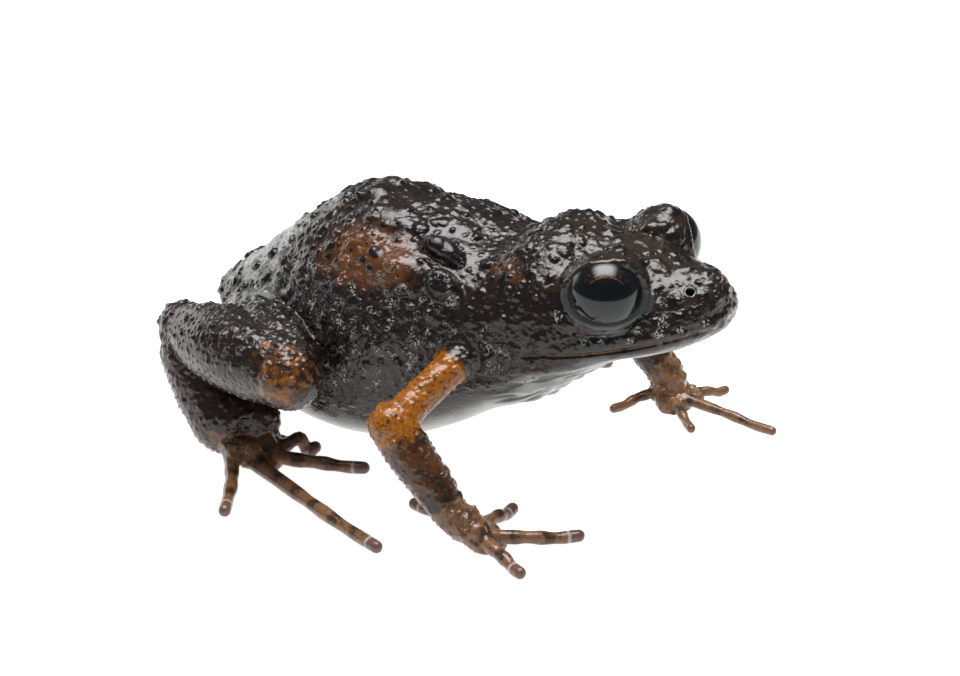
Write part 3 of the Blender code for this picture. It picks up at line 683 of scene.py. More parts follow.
def eye_centre(side):
    """The middle of the left (+1) or right (-1) eyeball."""
    return on_side(EYE_AT, side)


def eye_axis(side):
    """The way that the left (+1) or right (-1) eye looks."""
    return on_side(EYE_FACING, side).normalized()


def lids():
    """The mass of the lids round each eyeball."""
    return [
        ball("lid", eye_centre(side) - eye_axis(side) * LID_INSET, LIDS, upright_on(eye_axis(side)))
        for side in (-1, 1)
    ]


def fused(name, bodies, grain):
    """One closed surface round all the bodies, with points about a grain apart."""
    bpy.context.view_layer.update()
    graph = bpy.context.evaluated_depsgraph_get()
    work = bmesh.new()
    for body in bodies:
        mesh = bpy.data.meshes.new_from_object(body.evaluated_get(graph))
        work.from_mesh(mesh)
        bpy.data.meshes.remove(mesh)
    bmesh.ops.remove_doubles(work, verts=work.verts, dist=1e-5)
    bmesh.ops.recalc_face_normals(work, faces=work.faces)
    for body in bodies:
        bpy.data.objects.remove(body, do_unlink=True)
    loose = mesh_from(work, name)
    made = linked(name, loose)
    remesh = made.modifiers.new("fuse", "REMESH")
    remesh.mode = "VOXEL"
    remesh.voxel_size = grain
    remesh.adaptivity = 0.0
    bpy.context.view_layer.update()
    graph = bpy.context.evaluated_depsgraph_get()
    closed = bpy.data.meshes.new_from_object(made.evaluated_get(graph))
    made.modifiers.clear()
    made.data = closed
    bpy.data.meshes.remove(loose)
    return made


# Working the skin


def lattice_noise(points, width, seed):
    """Smooth noise from -1 to 1 whose lumps are about width millimetres wide."""
    cells = 32
    table = np.random.default_rng(seed).uniform(-1, 1, (cells,) * 3)
    place = points / width
    base = np.floor(place).astype(int)
    share = place - base
    share = share * share * (3 - 2 * share)
    total = np.zeros(len(points))
    for corner in itertools.product((0, 1), repeat=3):
        at = (base + corner) % cells
        weight = np.prod(np.where(corner, share, 1 - share), axis=1)
        total += weight * table[at[:, 0], at[:, 1], at[:, 2]]
    return total


class Skin:
    """The skin while it is worked: points in millimetres, normals, and one mask for each marking."""

    def __init__(self, body):
        self.body = body
        mesh = body.data
        self.count = len(mesh.vertices)
        self.points = np.empty(self.count * 3, np.float32)
        mesh.vertices.foreach_get("co", self.points)
        self.points = self.points.reshape(-1, 3).astype(float)
        edges = np.empty(len(mesh.edges) * 2, np.int32)
        mesh.edges.foreach_get("vertices", edges)
        self.edges = edges.reshape(-1, 2)
        self.joined = np.bincount(self.edges.ravel(), minlength=self.count)
        self.masks = {mask: np.zeros(self.count) for mask in MASKS}
        self.refresh()

    def raise_mask(self, name, values, index=slice(None)):
        """Lifts a mask to at least the given values, at some points or at all."""
        self.masks[name][index] = np.maximum(self.masks[name][index], values)

    def refresh(self):
        """Brings the mesh and the normals up to date with the points."""
        mesh = self.body.data
        mesh.vertices.foreach_set("co", self.points.astype(np.float32).ravel())
        mesh.update()
        normals = np.empty(self.count * 3, np.float32)
        mesh.vertex_normals.foreach_get("vector", normals)
        self.normals = normals.reshape(-1, 3).astype(float)

    def average(self, values):
        """The mean of each point's neighbours."""
        first, second = self.edges[:, 0], self.edges[:, 1]
        total = np.bincount(first, values[second], self.count)
        total += np.bincount(second, values[first], self.count)
        return total / self.joined

    def smooth(self, rounds, weight=1.0, push_back=0.53):
        """Evens the surface out, and swells it again after each round so that it doesn't shrink."""
        for _ in range(rounds):
            for step in (0.5, -push_back):
                if not step:
                    continue
                even = np.column_stack([self.average(self.points[:, k]) for k in range(3)])
                self.points += (even - self.points) * np.reshape(step * weight, (-1, 1))
        self.refresh()

    def push(self, amount):
        """Moves the points out along their normals, by millimetres."""
        self.points += self.normals * np.reshape(amount, (-1, 1))

    def tree(self):
        """A search tree of the points as they are now."""
        found = kdtree.KDTree(self.count)
        for index, point in enumerate(self.points):
            found.insert(point, index)
        found.balance()
        return found


def main_parts():
    """The bodies that the skin is fused from, and the limbs among them."""
    limbs = all_limbs()
    bodies = [trunk_body(), *(ball("pad", *place) for place in pad_places()), *lids()]
    for limb in limbs:
        bodies.append(limb.body(DIGIT_SIDES if limb.kind in ("finger", "toe") else LIMB_SIDES))
    return bodies, limbs


def read_limbs(skin, limbs):
    """For each limb: which points lie close to it, how far out, with 1 at its surface, and how far along."""
    found = []
    for limb in limbs:
        reach = limb.radii.max() * 1.7
        low, high = limb.spine.min(axis=0) - reach, limb.spine.max(axis=0) + reach
        index = np.where(((skin.points > low) & (skin.points < high)).all(axis=1))[0]
        points = skin.points[index]
        depth = np.full(len(index), 9.0)
        along = np.zeros(len(index))
        for k in range(len(limb.spine) - 1):
            first, step = limb.spine[k], limb.spine[k + 1] - limb.spine[k]
            share = np.clip((points - first) @ step / (step @ step), 0, 1)
            away = np.linalg.norm(points - first - share[:, None] * step, axis=1)
            ratio = away / (limb.radii[k] + (limb.radii[k + 1] - limb.radii[k]) * share)
            nearer = ratio < depth
            depth[nearer] = ratio[nearer]
            along[nearer] = (limb.along[k] + share * (limb.along[k + 1] - limb.along[k]))[nearer]
        close = depth < 1.6
        found.append((limb, index[close], depth[close], along[close]))
    return found


def near(points, centre, half_sizes):
    """1 at a centre and 0 outside an ellipsoid, on both sides of the frog alike."""
    folded = np.column_stack([points[:, 0], np.abs(points[:, 1]), points[:, 2]])
    away = np.linalg.norm((folded - centre) / half_sizes, axis=1)
    return fade(away, 1.0, 0.35)


def spread(skin, density, spacing, seed):
    """Indices of points picked at random where density allows, each at least spacing from the rest."""
    draw = np.random.default_rng(seed)
    order = draw.permutation(skin.count)
    order = order[density[order] > draw.random(skin.count)]
    cells, picked = {}, []
    for index in order:
        point = skin.points[index]
        cell = tuple((point // spacing).astype(int))
        clash = False
        for step in itertools.product((-1, 0, 1), repeat=3):
            for other in cells.get((cell[0] + step[0], cell[1] + step[1], cell[2] + step[2]), ()):
                if ((point - other) ** 2).sum() < spacing * spacing:
                    clash = True
                    break
            if clash:
                break
        if not clash:
            cells.setdefault(cell, []).append(point)
            picked.append(index)
    return picked


def oval(skin, tree, centre, long_half, wide_half, along):
    """The points near a centre, and how far out each lies in an oval, 1 at its edge."""
    found = tree.find_range(centre, long_half)
    index = np.array([f[1] for f in found], int)
    away = skin.points[index] - centre
    lengthwise = away @ along
    sideways = np.sqrt(np.maximum((away**2).sum(axis=1) - lengthwise**2, 0))
    return index, np.sqrt((lengthwise / long_half) ** 2 + (sideways / wide_half) ** 2)


def great_warts(skin, tree):
    """The dark oval warts that stand alone, each in a ring of smoother skin."""
    relief = np.zeros(skin.count)
    reach = 1.5
    for x, degrees, long_half, wide_half, height, turn in GREAT_WARTS:
        for side in (-1, 1) if degrees < ONE_SIDED else (1,):
            start = tree.find(trunk_place(x, degrees, side))[1]
            ahead = np.array((math.cos(math.radians(turn)), 0, -math.sin(math.radians(turn))))
            ahead -= skin.normals[start] * (ahead @ skin.normals[start])
            ahead /= np.linalg.norm(ahead)
            index, share = oval(skin, tree, skin.points[start], long_half * reach, wide_half * reach, ahead)
            share = share * reach
            relief[index] += height * (LEFT_SHARE if side > 0 else 1) * fade(share, 1.1, 0.45)
            skin.raise_mask("wart", fade(share, 1.15, 0.9), index)
            skin.raise_mask("smooth", 0.6 * fade(share, 1.5, 1.1) * fade(share, 0.8, 1.0), index)
            skin.raise_mask("grainy", 0.5 * fade(share, 1.0, 0.7), index)
    skin.push(relief)
    skin.refresh()


def swell(skin, tree):
    """The low swellings of the flank."""
    relief = np.zeros(skin.count)
    for x, degrees, long_half, wide_half, height in SWELLINGS:
        for side in (1, -1):
            start = tree.find(trunk_place(x, degrees, side))[1]
            index, share = oval(skin, tree, skin.points[start], long_half, wide_half, np.array((1.0, 0, 0)))
            relief[index] += height * fade(share, 1.0, 0.1)
    skin.push(relief)
    skin.refresh()


def small_warts(skin, tree):
    """Three sizes of wart over the back, flanks and limbs."""
    for spacing, least, most, steepness, mask, seed in WART_KINDS:
        draw = np.random.default_rng(seed)
        density = skin.masks[mask] * (1 - skin.masks["smooth"])
        ragged = lattice_noise(skin.points, least, seed)
        relief = np.zeros(skin.count)
        for centre in spread(skin, density, spacing, seed):
            radius = draw.uniform(least, most)
            longer = radius * draw.uniform(1.0, 1.35)
            along = draw.normal(size=3)
            along /= np.linalg.norm(along)
            height = radius * steepness * draw.uniform(0.6, 1.15)
            index, share = oval(skin, tree, skin.points[centre], longer, radius, along)
            share = share * (1 + 0.25 * ragged[index])
            relief[index] = np.maximum(relief[index], height * np.clip(1 - share**2, 0, 1) ** 1.3)
            if draw.random() < DARK_WART_SHARE * (1 - skin.masks["limb"][centre]):
                skin.raise_mask("wart", 0.8 * fade(share, 1.0, 0.7), index)
        skin.push(relief)
        skin.refresh()


def crumple(skin):
    """The folds and crumples between the warts, the mask of the rough skin, and the painted shade in the
    troughs of the throat's creases.
    """
    loose = (1 - 0.85 * skin.masks["smooth"]) * (1 - skin.masks["lid"])
    skin.masks["rough"] = loose * skin.masks["grainy"]
    relief = np.zeros(skin.count)
    for along, across, upright, depth, mask, seed in CRUMPLES:
        lumps = lattice_noise(skin.points / (along, across, upright), 1.0, seed)
        relief += depth * loose * skin.masks[mask] * lumps
        if mask == "pleated":
            # Painted shade in the troughs of the throat's pleats
            skin.masks["crease_shade"] = skin.masks[mask] * fade(lumps, 0.0, -0.4)
    skin.push(relief)


def open_lids(skin, radius, rise):
    """Shapes the lids round each eyeball, so that the skin meets it along the edge of the opening."""
    for side in (-1, 1):
        gaze, centre = np.array(eye_axis(side)), np.array(eye_centre(side))
        up = np.array((0, 0, 1.0)) - gaze * gaze[2]
        up /= np.linalg.norm(up)
        fore = np.cross(up, gaze)
        from_eye = skin.points - centre
        away = np.maximum(np.linalg.norm(from_eye, axis=1), 1e-6)
        heading = np.arctan2(from_eye @ up, from_eye @ fore)
        turn = np.degrees(np.arccos(np.clip(from_eye @ gaze / away, -1, 1)))
        tall = np.where(heading > 0, LID_OPENING[1], LOWER_OPENING)
        opening = 1 / np.hypot(np.cos(heading) / LID_OPENING[0], np.sin(heading) / tall)
        past = np.radians(turn - opening) * radius
        close = (away < radius + EYE_ZONE[0]) & (turn < EYE_ZONE[1])
        lower = fade(np.sin(heading), 0.35, -0.15)
        on_lid = fade(away, radius + LID_REACH[0], radius + LID_REACH[1])
        margin = rise * ridge(past, *LID_MARGIN) * (0.6 + 0.7 * lower) * on_lid
        groove = GROOVE_DEPTH * lower * ridge(past, *LID_GROOVE) * on_lid
        outside = np.maximum(away, radius + EYE_CLEARANCE) + margin - groove
        outside = radius + (outside - radius) * fade(past, -0.02, 0.08)
        inside = radius - EYE_CLEARANCE - EYE_TUCK * fade(-past, 0.0, 0.12)
        change = np.where(close, np.where(past < 0, inside, outside) - away, 0.0)
        skin.points += from_eye * (change / away)[:, None]
        # Painted reflection: a band of the lower lid is coloured grey like the floor that it mirrors
        skin.raise_mask("lid", (on_lid * lower * fade(past, 0.46, 0.30))[close], close)
        skin.raise_mask("smooth", (on_lid * fade(past, 0.55, 0.3) * (0.35 + 0.65 * lower))[close], close)
    skin.refresh()


def slope_brows(skin):
    """Lets the brow behind each eye run down to the neck."""
    behind = fade(skin.points[:, 0], EYE_AT[0] + 0.7, EYE_AT[0] - 0.8)
    skin.points[:, 2] -= BROW_DROP * behind * near(skin.points, BROW_AT, BROW_REACH)
    skin.refresh()


def shape_face(skin, groove_depth):
    """The line of the mouth with its lips, and the nostrils."""
    x, z = skin.points[:, 0], skin.points[:, 2]
    above = z - np.interp(x, *zip(*MOUTH_LINE))
    along = fade(x, MOUTH_CORNER_X - 0.5, MOUTH_CORNER_X + 0.5) * (1 - skin.masks["limb"])
    groove = -groove_depth * ridge(above, 0.0, MOUTH_WIDTH)
    upper = LIP_HEIGHT * ridge(above, *UPPER_LIP)
    skin.push(along * (groove * fade(x, 9.6, 9.2) + upper))
    skin.masks["mouth"] = along * ridge(above, 0.0, MOUTH_COLOUR_WIDTH)
    jaw = along * fade(above, 0.42, 0.30) * fade(above, -1.2, -0.7)
    skin.raise_mask("smooth", 0.95 * jaw)
    for side in (-1, 1):
        away = np.linalg.norm(skin.points - trunk_place(NOSTRIL_X, NOSTRIL_ANGLE, side), axis=1)
        rim = ridge(away, *NOSTRIL_RIM)
        hole = fade(away, NOSTRIL_RADIUS, NOSTRIL_RADIUS * 0.5)
        skin.push(RIM_HEIGHT * rim - NOSTRIL_DEPTH * hole)
        # Painted shade: the inside of each nostril is coloured near black
        skin.raise_mask("hole", fade(away, NOSTRIL_RADIUS * 1.05, NOSTRIL_RADIUS * 0.8))
        # Painted highlight: the rim of each nostril is coloured pale
        skin.raise_mask("pearly_and_highlight", 0.8 * rim)
        skin.raise_mask("smooth", fade(away, 0.40, 0.26))
    skin.refresh()


def mark_limbs(skin, found, ring_from_tip):
    """Fills the masks of the limbs: amber arms, rusty forearms, tan hands and feet, barred digits."""
    for limb, index, depth, along in found:
        on = fade(depth, 1.45, 1.1)
        share = along / limb.length
        if limb.kind != "thigh":
            skin.raise_mask("limb", on, index)
        if limb.kind == "upper_arm":
            skin.raise_mask("amber", on * fade(share, 0.20, 0.40), index)
        elif limb.kind == "forearm":
            skin.raise_mask("amber", on * fade(share, 0.45, -0.10), index)
            skin.raise_mask("rust", 0.62 * on * fade(share, 1.3, 0.5), index)
        elif limb.kind == "hand":
            skin.raise_mask("tan", 0.75 * on, index)
        elif limb.kind in ("tarsus", "foot"):
            from_heel = fade(share, 0.02, 0.18) if limb.kind == "tarsus" else 1
            skin.raise_mask("heel", 0.8 * on * from_heel, index)
        elif limb.kind in ("finger", "toe"):
            from_tip = limb.length - along + limb.radii[-1]
            skin.raise_mask("thin", on, index)
            skin.raise_mask("tan", on, index)
            vivid = FAINT_TIPS if limb.kind == "finger" and limb.side > 0 else 1.0
            skin.raise_mask("tip", vivid * on * fade(from_tip, *TIP_END), index)
            skin.raise_mask("pearly_and_highlight", vivid * on * ridge(from_tip, ring_from_tip, RING_WIDTH), index)
            bars = 0.65 - 0.35 * np.cos(math.tau * (from_tip - BAR_START) / BAR_SPACING)
            skin.raise_mask("bar", 0.9 * on * bars * fade(from_tip, 0.7, 0.9), index)
    for number, (middle, half_sizes, turn) in enumerate(pad_places()):
        away = np.linalg.norm((skin.points - np.array(middle)) @ np.array(turn) / half_sizes, axis=1)
        skin.raise_mask("limb", fade(away, 1.5, 1.2))
        skin.raise_mask("tan", PAD_TAN[number % 2] * fade(away, 1.5, 1.2))


def mark_trunk(skin):
    """Fills the masks of the head and trunk, and those that say where the warts grow.

    The bounds of x, y and z are in millimetres. Those of up say how far the skin faces upwards, from
    -1 underneath to 1 on top.
    """
    masks = skin.masks
    x, y, z = skin.points.T
    up = skin.normals[:, 2]
    trunk = 1 - masks["limb"]
    for middle, half_sizes, strength in RUST_PATCHES:
        skin.raise_mask("rust", strength * trunk * near(skin.points, middle, half_sizes))
    knee = np.array(LEGS[-1][1]) + KNEE_PATCH
    skin.raise_mask("amber", KNEE_AMBER * near(skin.points, knee, (KNEE_RADIUS,) * 3))
    lengthwise = fade(x, 1.3, 2.3) * fade(x, 5.7, 5.2)
    masks["band"] = (
        trunk * lengthwise * fade(z, 8.10, 7.85) * fade(z, 6.5, 6.85) * fade(np.abs(y), 1.8, 2.4)
    )
    under = np.maximum(fade(up, -0.45, -0.95), fade(up, 0.0, -0.6) * fade(x, 2.6, 4.0))
    rump = fade(x, -5.3, -6.2) * fade(z, 5.0, 5.8)
    # Pale belly and throat, and a painted sheen on the rump
    skin.raise_mask("pale", trunk * np.maximum(under * fade(z, 5.8, 4.6), 0.6 * rump))
    masks["olive"] = trunk * fade(x, 3.0, 4.5) * fade(up, 0.25, 0.7)
    skin.raise_mask("smooth", 0.9 * masks["band"])
    for middle, half_sizes, strength in SMOOTH_PATCHES:
        skin.raise_mask("smooth", strength * near(skin.points, middle, half_sizes))
    skin.raise_mask("smooth", 0.8 * trunk * fade(up, -0.2, -0.5) * fade(x, 3.2, 2.0))
    back = trunk * fade(up, -0.05, 0.35)
    side = trunk * fade(up, -0.55, -0.15)
    clear_of_eyes = 1 - near(skin.points, EYE_AT, (3.6, 3.6, 3.6))
    thick = masks["limb"] * (1 - masks["thin"])
    crown = 0.9 * fade(x, 5.0, 3.5) + 0.4 * fade(x, 3.5, 5.0) * fade(x, 8.6, 8.0)
    masks["warty"] = back * clear_of_eyes * crown * (1 - 0.8 * rump)
    on_limbs = 0.25 * thick * fade(up, -0.1, 0.3)
    masks["knobbly"] = clear_of_eyes * np.maximum(0.55 * side * (1 - rump), on_limbs)
    fine_on_flanks = side * (0.3 + 0.7 * clear_of_eyes) * (1 - 0.9 * fade(up, 0.4, 0.75)) * (1 - 0.7 * rump)
    before_eyes = near(skin.points, (8.0, 2.0, 7.8), (1.2, 1.2, 1.0))
    masks["grainy"] = np.maximum.reduce((0.5 * fine_on_flanks, 0.2 * thick, 0.6 * before_eyes))
    masks["folded"] = np.maximum.reduce((back * (0.3 + 0.7 * clear_of_eyes), 0.4 * thick, before_eyes))
    masks["streaked"] = trunk * fade(x, -4.8, -6.2) * fade(up, -0.3, 0.0)
    masks["pleated"] = trunk * fade(x, 1.8, 3.4) * fade(up, -0.1, -0.4)
    # Pale specks on the flanks and lips, partly pigment and partly painted glints
    masks["speck_and_glint"] = side * (1 - masks["band"]) * (0.50 + 0.17 * fade(x, 5.0, 2.5) * fade(z, 8.6, 7.4))
    for mask, places in (("amber", SPOTS), ("speck_and_glint", LIP_SPECKS_AND_GLINTS)):
        for *place, radius in places:
            skin.raise_mask(mask, near(skin.points, place, (radius * 1.5,) * 3))


def soften_joints(skin, grain):
    """Runs the limbs into the trunk and into each other without creases."""
    soft = np.zeros(skin.count)
    for side in (-1, 1):
        shoulder, elbow, wrist = ARMS[side]
        hip, _, heel, ankle = LEGS[side]
        for place, reach in (
            (shoulder, 1.7), (elbow, 0.9), (wrist, 0.9), (hip, 2.4), (heel, 1.2), (ankle, 1.2)
        ):
            away = np.linalg.norm(skin.points - np.array(on_side(place, side)), axis=1)
            soft = np.maximum(soft, fade(away, reach, reach * 0.5))
    skin.smooth(round(1.2 / grain), soft * (1 - skin.masks["thin"]), 0.0)


def worked_skin(name):
    """The whole skin as a mesh object in metres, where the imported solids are."""
    sizes = settings()[0]
    grain = sizes.grain / MM
    bodies, limbs = main_parts()
    skin = Skin(fused(name, bodies, grain))
    mark_limbs(skin, read_limbs(skin, limbs), sizes.ring_from_tip / MM)
    skin.smooth(6)
    soften_joints(skin, grain)
    mark_trunk(skin)
    slope_brows(skin)
    shape_face(skin, sizes.lip_groove / MM)
    open_lids(skin, sizes.eye_radius / MM, sizes.lid_rise / MM)
    tree = skin.tree()
    swell(skin, tree)
    great_warts(skin, tree)
    small_warts(skin, tree)
    crumple(skin)
    skin.points[:, 2] = np.maximum(skin.points[:, 2], 0.0)
    skin.refresh()
    mesh = skin.body.data
    mesh.transform(Matrix.Translation(frog_shift()) @ Matrix.Scale(MM, 4))
    for mask in SHOWN_MASKS:
        held = mesh.attributes.new(mask, "FLOAT", "POINT")
        held.data.foreach_set("value", np.clip(skin.masks[mask], 0, 1).astype(np.float32))
    mesh.shade_smooth()
    return skin.body


def eyeball(name, node, side):
    """One eyeball that looks along its own z, with a cornea that stands a little proud."""
    radius = settings()[0].eye_radius
    work = bmesh.new()
    bmesh.ops.create_uvsphere(work, u_segments=160, v_segments=96, radius=radius)
    for vert in work.verts:
        turn = math.degrees(math.acos(max(-1.0, min(1.0, vert.co.z / radius))))
        vert.co *= 1 + CORNEA_RISE * float(fade(turn, 58, 20))
    made = linked(name, mesh_from(work, name))
    made.data.shade_smooth()
    gaze = eye_axis(side)
    up = (Vector((0, 0, 1)) - gaze * gaze.z).normalized()
    turned = Matrix((up.cross(gaze), up, gaze)).transposed()
    low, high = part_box(node)
    made.matrix_world = Matrix.Translation((low + high) / 2) @ turned.to_4x4()
    return made


# Materials


def add_node(tree, kind, values=None, links=None, out=0, **options):
    """Adds a node, sets its options and sockets, feeds it from other nodes and returns one output."""
    node = tree.nodes.new(f"ShaderNode{kind}")
    for key, value in options.items():
        setattr(node, key, value)
    for key, value in (values or {}).items():
        node.inputs[key].default_value = value
    for key, source in (links or {}).items():
        tree.links.new(source, node.inputs[key])
    return node.outputs[out]


def scale_for(millimetres):
    """The scale of a texture in metres whose lumps are this wide."""
    return 1 / (millimetres * MM)


def principled(name, sockets):
    """A new material, its node tree, and its shader with these sockets set."""
    material = bpy.data.materials.new(name)
    material.use_nodes = True
    shader = material.node_tree.nodes["Principled BSDF"]
    for socket, value in sockets.items():
        shader.inputs[socket].default_value = value
    return material, material.node_tree, shader


def skin_material():
    """Frog skin under a film of water and slime.

    The film gives sharp white glints on every grain and a clear grey picture of the floor low on the
    flank. Under it the skin itself is dark and only faintly glossy.
    """
    colours = settings()[1]
    material, tree, shader = principled("wet_granular_frog_skin", {
        "Roughness": 0.42, "IOR": 1.40, "Specular IOR Level": 0.04,
        "Coat Weight": 1.0, "Coat Roughness": 0.17, "Coat IOR": 1.45,
    })
    place = add_node(tree, "TexCoord", out="Object")
    held = add_node(tree, "RGB")
    held.default_value = (*colours.umber, 1.0)
    for mask, tint, width, ragged, low, high in SKIN_LAYERS:
        lumps = add_node(
            tree, "TexNoise", {"Scale": scale_for(width), "Detail": 4.0, "Roughness": 0.6},
            {"Vector": place},
        )
        marked = add_node(tree, "Attribute", out="Fac", attribute_name=mask)
        share = add_node(tree, "Math", {1: ragged}, {0: lumps, 2: marked}, operation="MULTIPLY_ADD")
        edge = add_node(
            tree, "MapRange", {"From Min": low + ragged / 2, "From Max": high + ragged / 2},
            {"Value": share}, interpolation_type="SMOOTHSTEP",
        )
        held = add_node(
            tree, "Mix", {MIX_B: (*getattr(colours, tint), 1.0)}, {MIX_FACTOR: edge, MIX_A: held},
            MIX_RESULT, data_type="RGBA",
        )
    # Pale specks over all the layers, partly pigment and partly painted glints
    specks_and_glints_mixed = add_node(
        tree, "Mix", {MIX_B: (*colours.pearl_and_glint, 1.0)}, {MIX_FACTOR: speck_and_glint_share(tree, place), MIX_A: held},
        MIX_RESULT, data_type="RGBA",
    )
    tree.links.new(specks_and_glints_mixed, shader.inputs["Base Color"])
    fine_relief(tree, place, shader)
    return material


def speck_and_glint_share(tree, place):
    """Pale specks, partly pigment and partly painted glints, in clusters that their mask thickens."""
    marked = add_node(tree, "Attribute", out="Fac", attribute_name="speck_and_glint")
    clusters, specks = (
        add_node(tree, "TexNoise", {"Scale": scale_for(width), "Detail": 1.0}, {"Vector": place})
        for width in SPECK_AND_GLINT_WIDTHS
    )
    both = add_node(tree, "Math", links={0: marked, 1: clusters}, operation="ADD")
    shares = [
        add_node(tree, "MapRange", {"From Min": low, "From Max": high}, {"Value": source})
        for source, (low, high) in zip((both, specks), SPECK_AND_GLINT_EDGES)
    ]
    return add_node(tree, "Math", links=dict(enumerate(shares)), operation="MULTIPLY")


def fine_relief(tree, place, shader):
    """Grains and wrinkles too fine for the mesh, shallow where the skin is smooth."""
    grain_width, wrinkle_width = RELIEF_WIDTHS
    grains = add_node(
        tree, "TexVoronoi", {"Scale": scale_for(grain_width), "Smoothness": 0.6}, {"Vector": place},
        feature="SMOOTH_F1",
    )
    wrinkles = add_node(
        tree, "TexNoise", {"Scale": scale_for(wrinkle_width), "Detail": 3.0}, {"Vector": place}
    )
    height = add_node(tree, "Math", {1: -1.0}, {0: grains, 2: wrinkles}, operation="MULTIPLY_ADD")
    rough = add_node(tree, "Attribute", out="Fac", attribute_name="rough")
    share = add_node(
        tree, "MapRange", {"To Min": RELIEF_SHARES[0], "To Max": RELIEF_SHARES[1]}, {"Value": rough}
    )
    bump = add_node(tree, "Bump", {"Distance": RELIEF_DEPTH * MM}, {"Height": height, "Strength": share})
    for socket in ("Normal", "Coat Normal"):
        tree.links.new(bump, shader.inputs[socket])


def eye_material():
    """The cornea over a black pupil and a nearly black iris.

    It gives a clear picture of the light above and of the floor below. Fine copper lines show over
    the upper edge of the pupil.
    """
    colours = settings()[1]
    material, tree, shader = principled("wet_cornea_over_dark_iris", {
        "Roughness": 0.35, "IOR": 1.376, "Specular IOR Level": 0.1,
        "Coat Weight": 1.0, "Coat Roughness": 0.02, "Coat IOR": 1.45,
    })
    place = add_node(tree, "TexCoord", out="Object")
    squeezed, streaks = (
        add_node(tree, "VectorMath", {1: scales}, {0: place}, operation="MULTIPLY")
        for scales in ((scale_for(PUPIL[0]), scale_for(PUPIL[1]), 0.0), tuple(map(scale_for, IRIS_STREAK)))
    )
    from_middle = add_node(tree, "VectorMath", links={0: squeezed}, out="Value", operation="LENGTH")
    broken = add_node(tree, "TexNoise", {"Scale": 1.0, "Detail": 2.0}, {"Vector": streaks})
    lines = []
    for bounds in IRIS_LINES:
        inner, outer, gaps = (
            add_node(tree, "MapRange", {"From Min": low, "From Max": high}, {"Value": source})
            for source, (low, high) in zip((from_middle, from_middle, broken), bounds)
        )
        line = add_node(tree, "Math", links={0: inner, 1: outer}, operation="MULTIPLY")
        lines.append(add_node(tree, "Math", links={0: line, 1: gaps}, operation="MULTIPLY"))
    either = add_node(tree, "Math", links=dict(enumerate(lines)), operation="MAXIMUM")
    upwards = add_node(tree, "SeparateXYZ", links={0: place}, out="Y")
    low, high = IRIS_ABOVE
    above = add_node(tree, "MapRange", {"From Min": low * MM, "From Max": high * MM}, {"Value": upwards})
    shown = add_node(tree, "Math", links={0: either, 1: above}, operation="MULTIPLY")
    mixed = add_node(
        tree, "Mix", {MIX_A: (*colours.pupil, 1.0), MIX_B: (*colours.copper, 1.0)}, {MIX_FACTOR: shown},
        MIX_RESULT, data_type="RGBA",
    )
    tree.links.new(mixed, shader.inputs["Base Color"])
    return material


def floor_material():
    """A translucent white acrylic sheet lit from below, which leaves hardly a shadow."""
    colours = settings()[1]
    material, tree, shader = principled("lit_white_acrylic_sheet", {
        "Roughness": 0.9, "Specular IOR Level": 0.1, "Emission Color": GLOW_COLOUR,
    })
    place = add_node(tree, "TexCoord", out="Object")
    cloud = add_node(tree, "TexNoise", {"Scale": scale_for(CLOUD_WIDTH), "Detail": 2.0}, {"Vector": place})
    fainter = [CLOUD_SHADE * part for part in colours.floor]
    tint = add_node(
        tree, "Mix", {MIX_A: (*colours.floor, 1.0), MIX_B: (*fainter, 1.0)}, {MIX_FACTOR: cloud},
        MIX_RESULT, data_type="RGBA",
    )
    away = add_node(tree, "VectorMath", links={0: place}, out="Value", operation="LENGTH")
    glow = add_node(
        tree, "MapRange",
        {"From Min": GLOW_REACH[0], "From Max": GLOW_REACH[1], "To Min": FLOOR_GLOW, "To Max": 0.0},
        {"Value": away}, interpolation_type="SMOOTHSTEP",
    )
    tree.links.new(tint, shader.inputs["Base Color"])
    tree.links.new(glow, shader.inputs["Emission Strength"])
    return material


# Stage


def floor_sheet(name):
    """A round floor that rises behind the frog as a backdrop, and stays flat towards the camera."""
    points, faces = [(0.0, 0.0, 0.0)], []
    back = np.radians(AZIMUTH + 90)
    for ring in range(1, FLOOR_RINGS + 1):
        radius = FLOOR_RADIUS * (ring / FLOOR_RINGS) ** 1.5
        for k in range(FLOOR_SECTORS):
            heading = math.tau * k / FLOOR_SECTORS
            off = math.degrees(abs((heading - back + math.pi) % math.tau - math.pi))
            rise = BACKDROP_HEIGHT * float(fade(radius, BACKDROP_START, FLOOR_RADIUS) * fade(off, 85, 45))
            points.append((radius * math.cos(heading), radius * math.sin(heading), rise))
    for k in range(FLOOR_SECTORS):
        after = (k + 1) % FLOOR_SECTORS
        faces.append((0, 1 + k, 1 + after))
        for ring in range(FLOOR_RINGS - 1):
            inner, outer = 1 + ring * FLOOR_SECTORS, 1 + (ring + 1) * FLOOR_SECTORS
            faces.append((inner + k, outer + k, outer + after, inner + after))
    sheet = mesh_object(name, points, faces)
    sheet.data.shade_smooth()
    return sheet


def camera_back():
    """The direction from the frog to the camera."""
    a, e = math.radians(AZIMUTH), math.radians(ELEVATION)
    return Vector((math.sin(a) * math.cos(e), -math.cos(a) * math.cos(e), math.sin(e)))


def add_camera():
    """The camera, set where the photograph was taken from."""
    data = bpy.data.cameras.new("camera")
    data.lens = LENS
    data.sensor_width = SENSOR_WIDTH
    data.clip_start, data.clip_end = 0.01, 20.0
    camera = linked("camera", data)
    camera.location = Vector(LOOKS_AT) * MM + frog_shift() + camera_back() * DISTANCE * MM
    camera.rotation_euler = (-camera_back()).to_track_quat("-Z", "Y").to_euler()
    bpy.context.scene.camera = camera


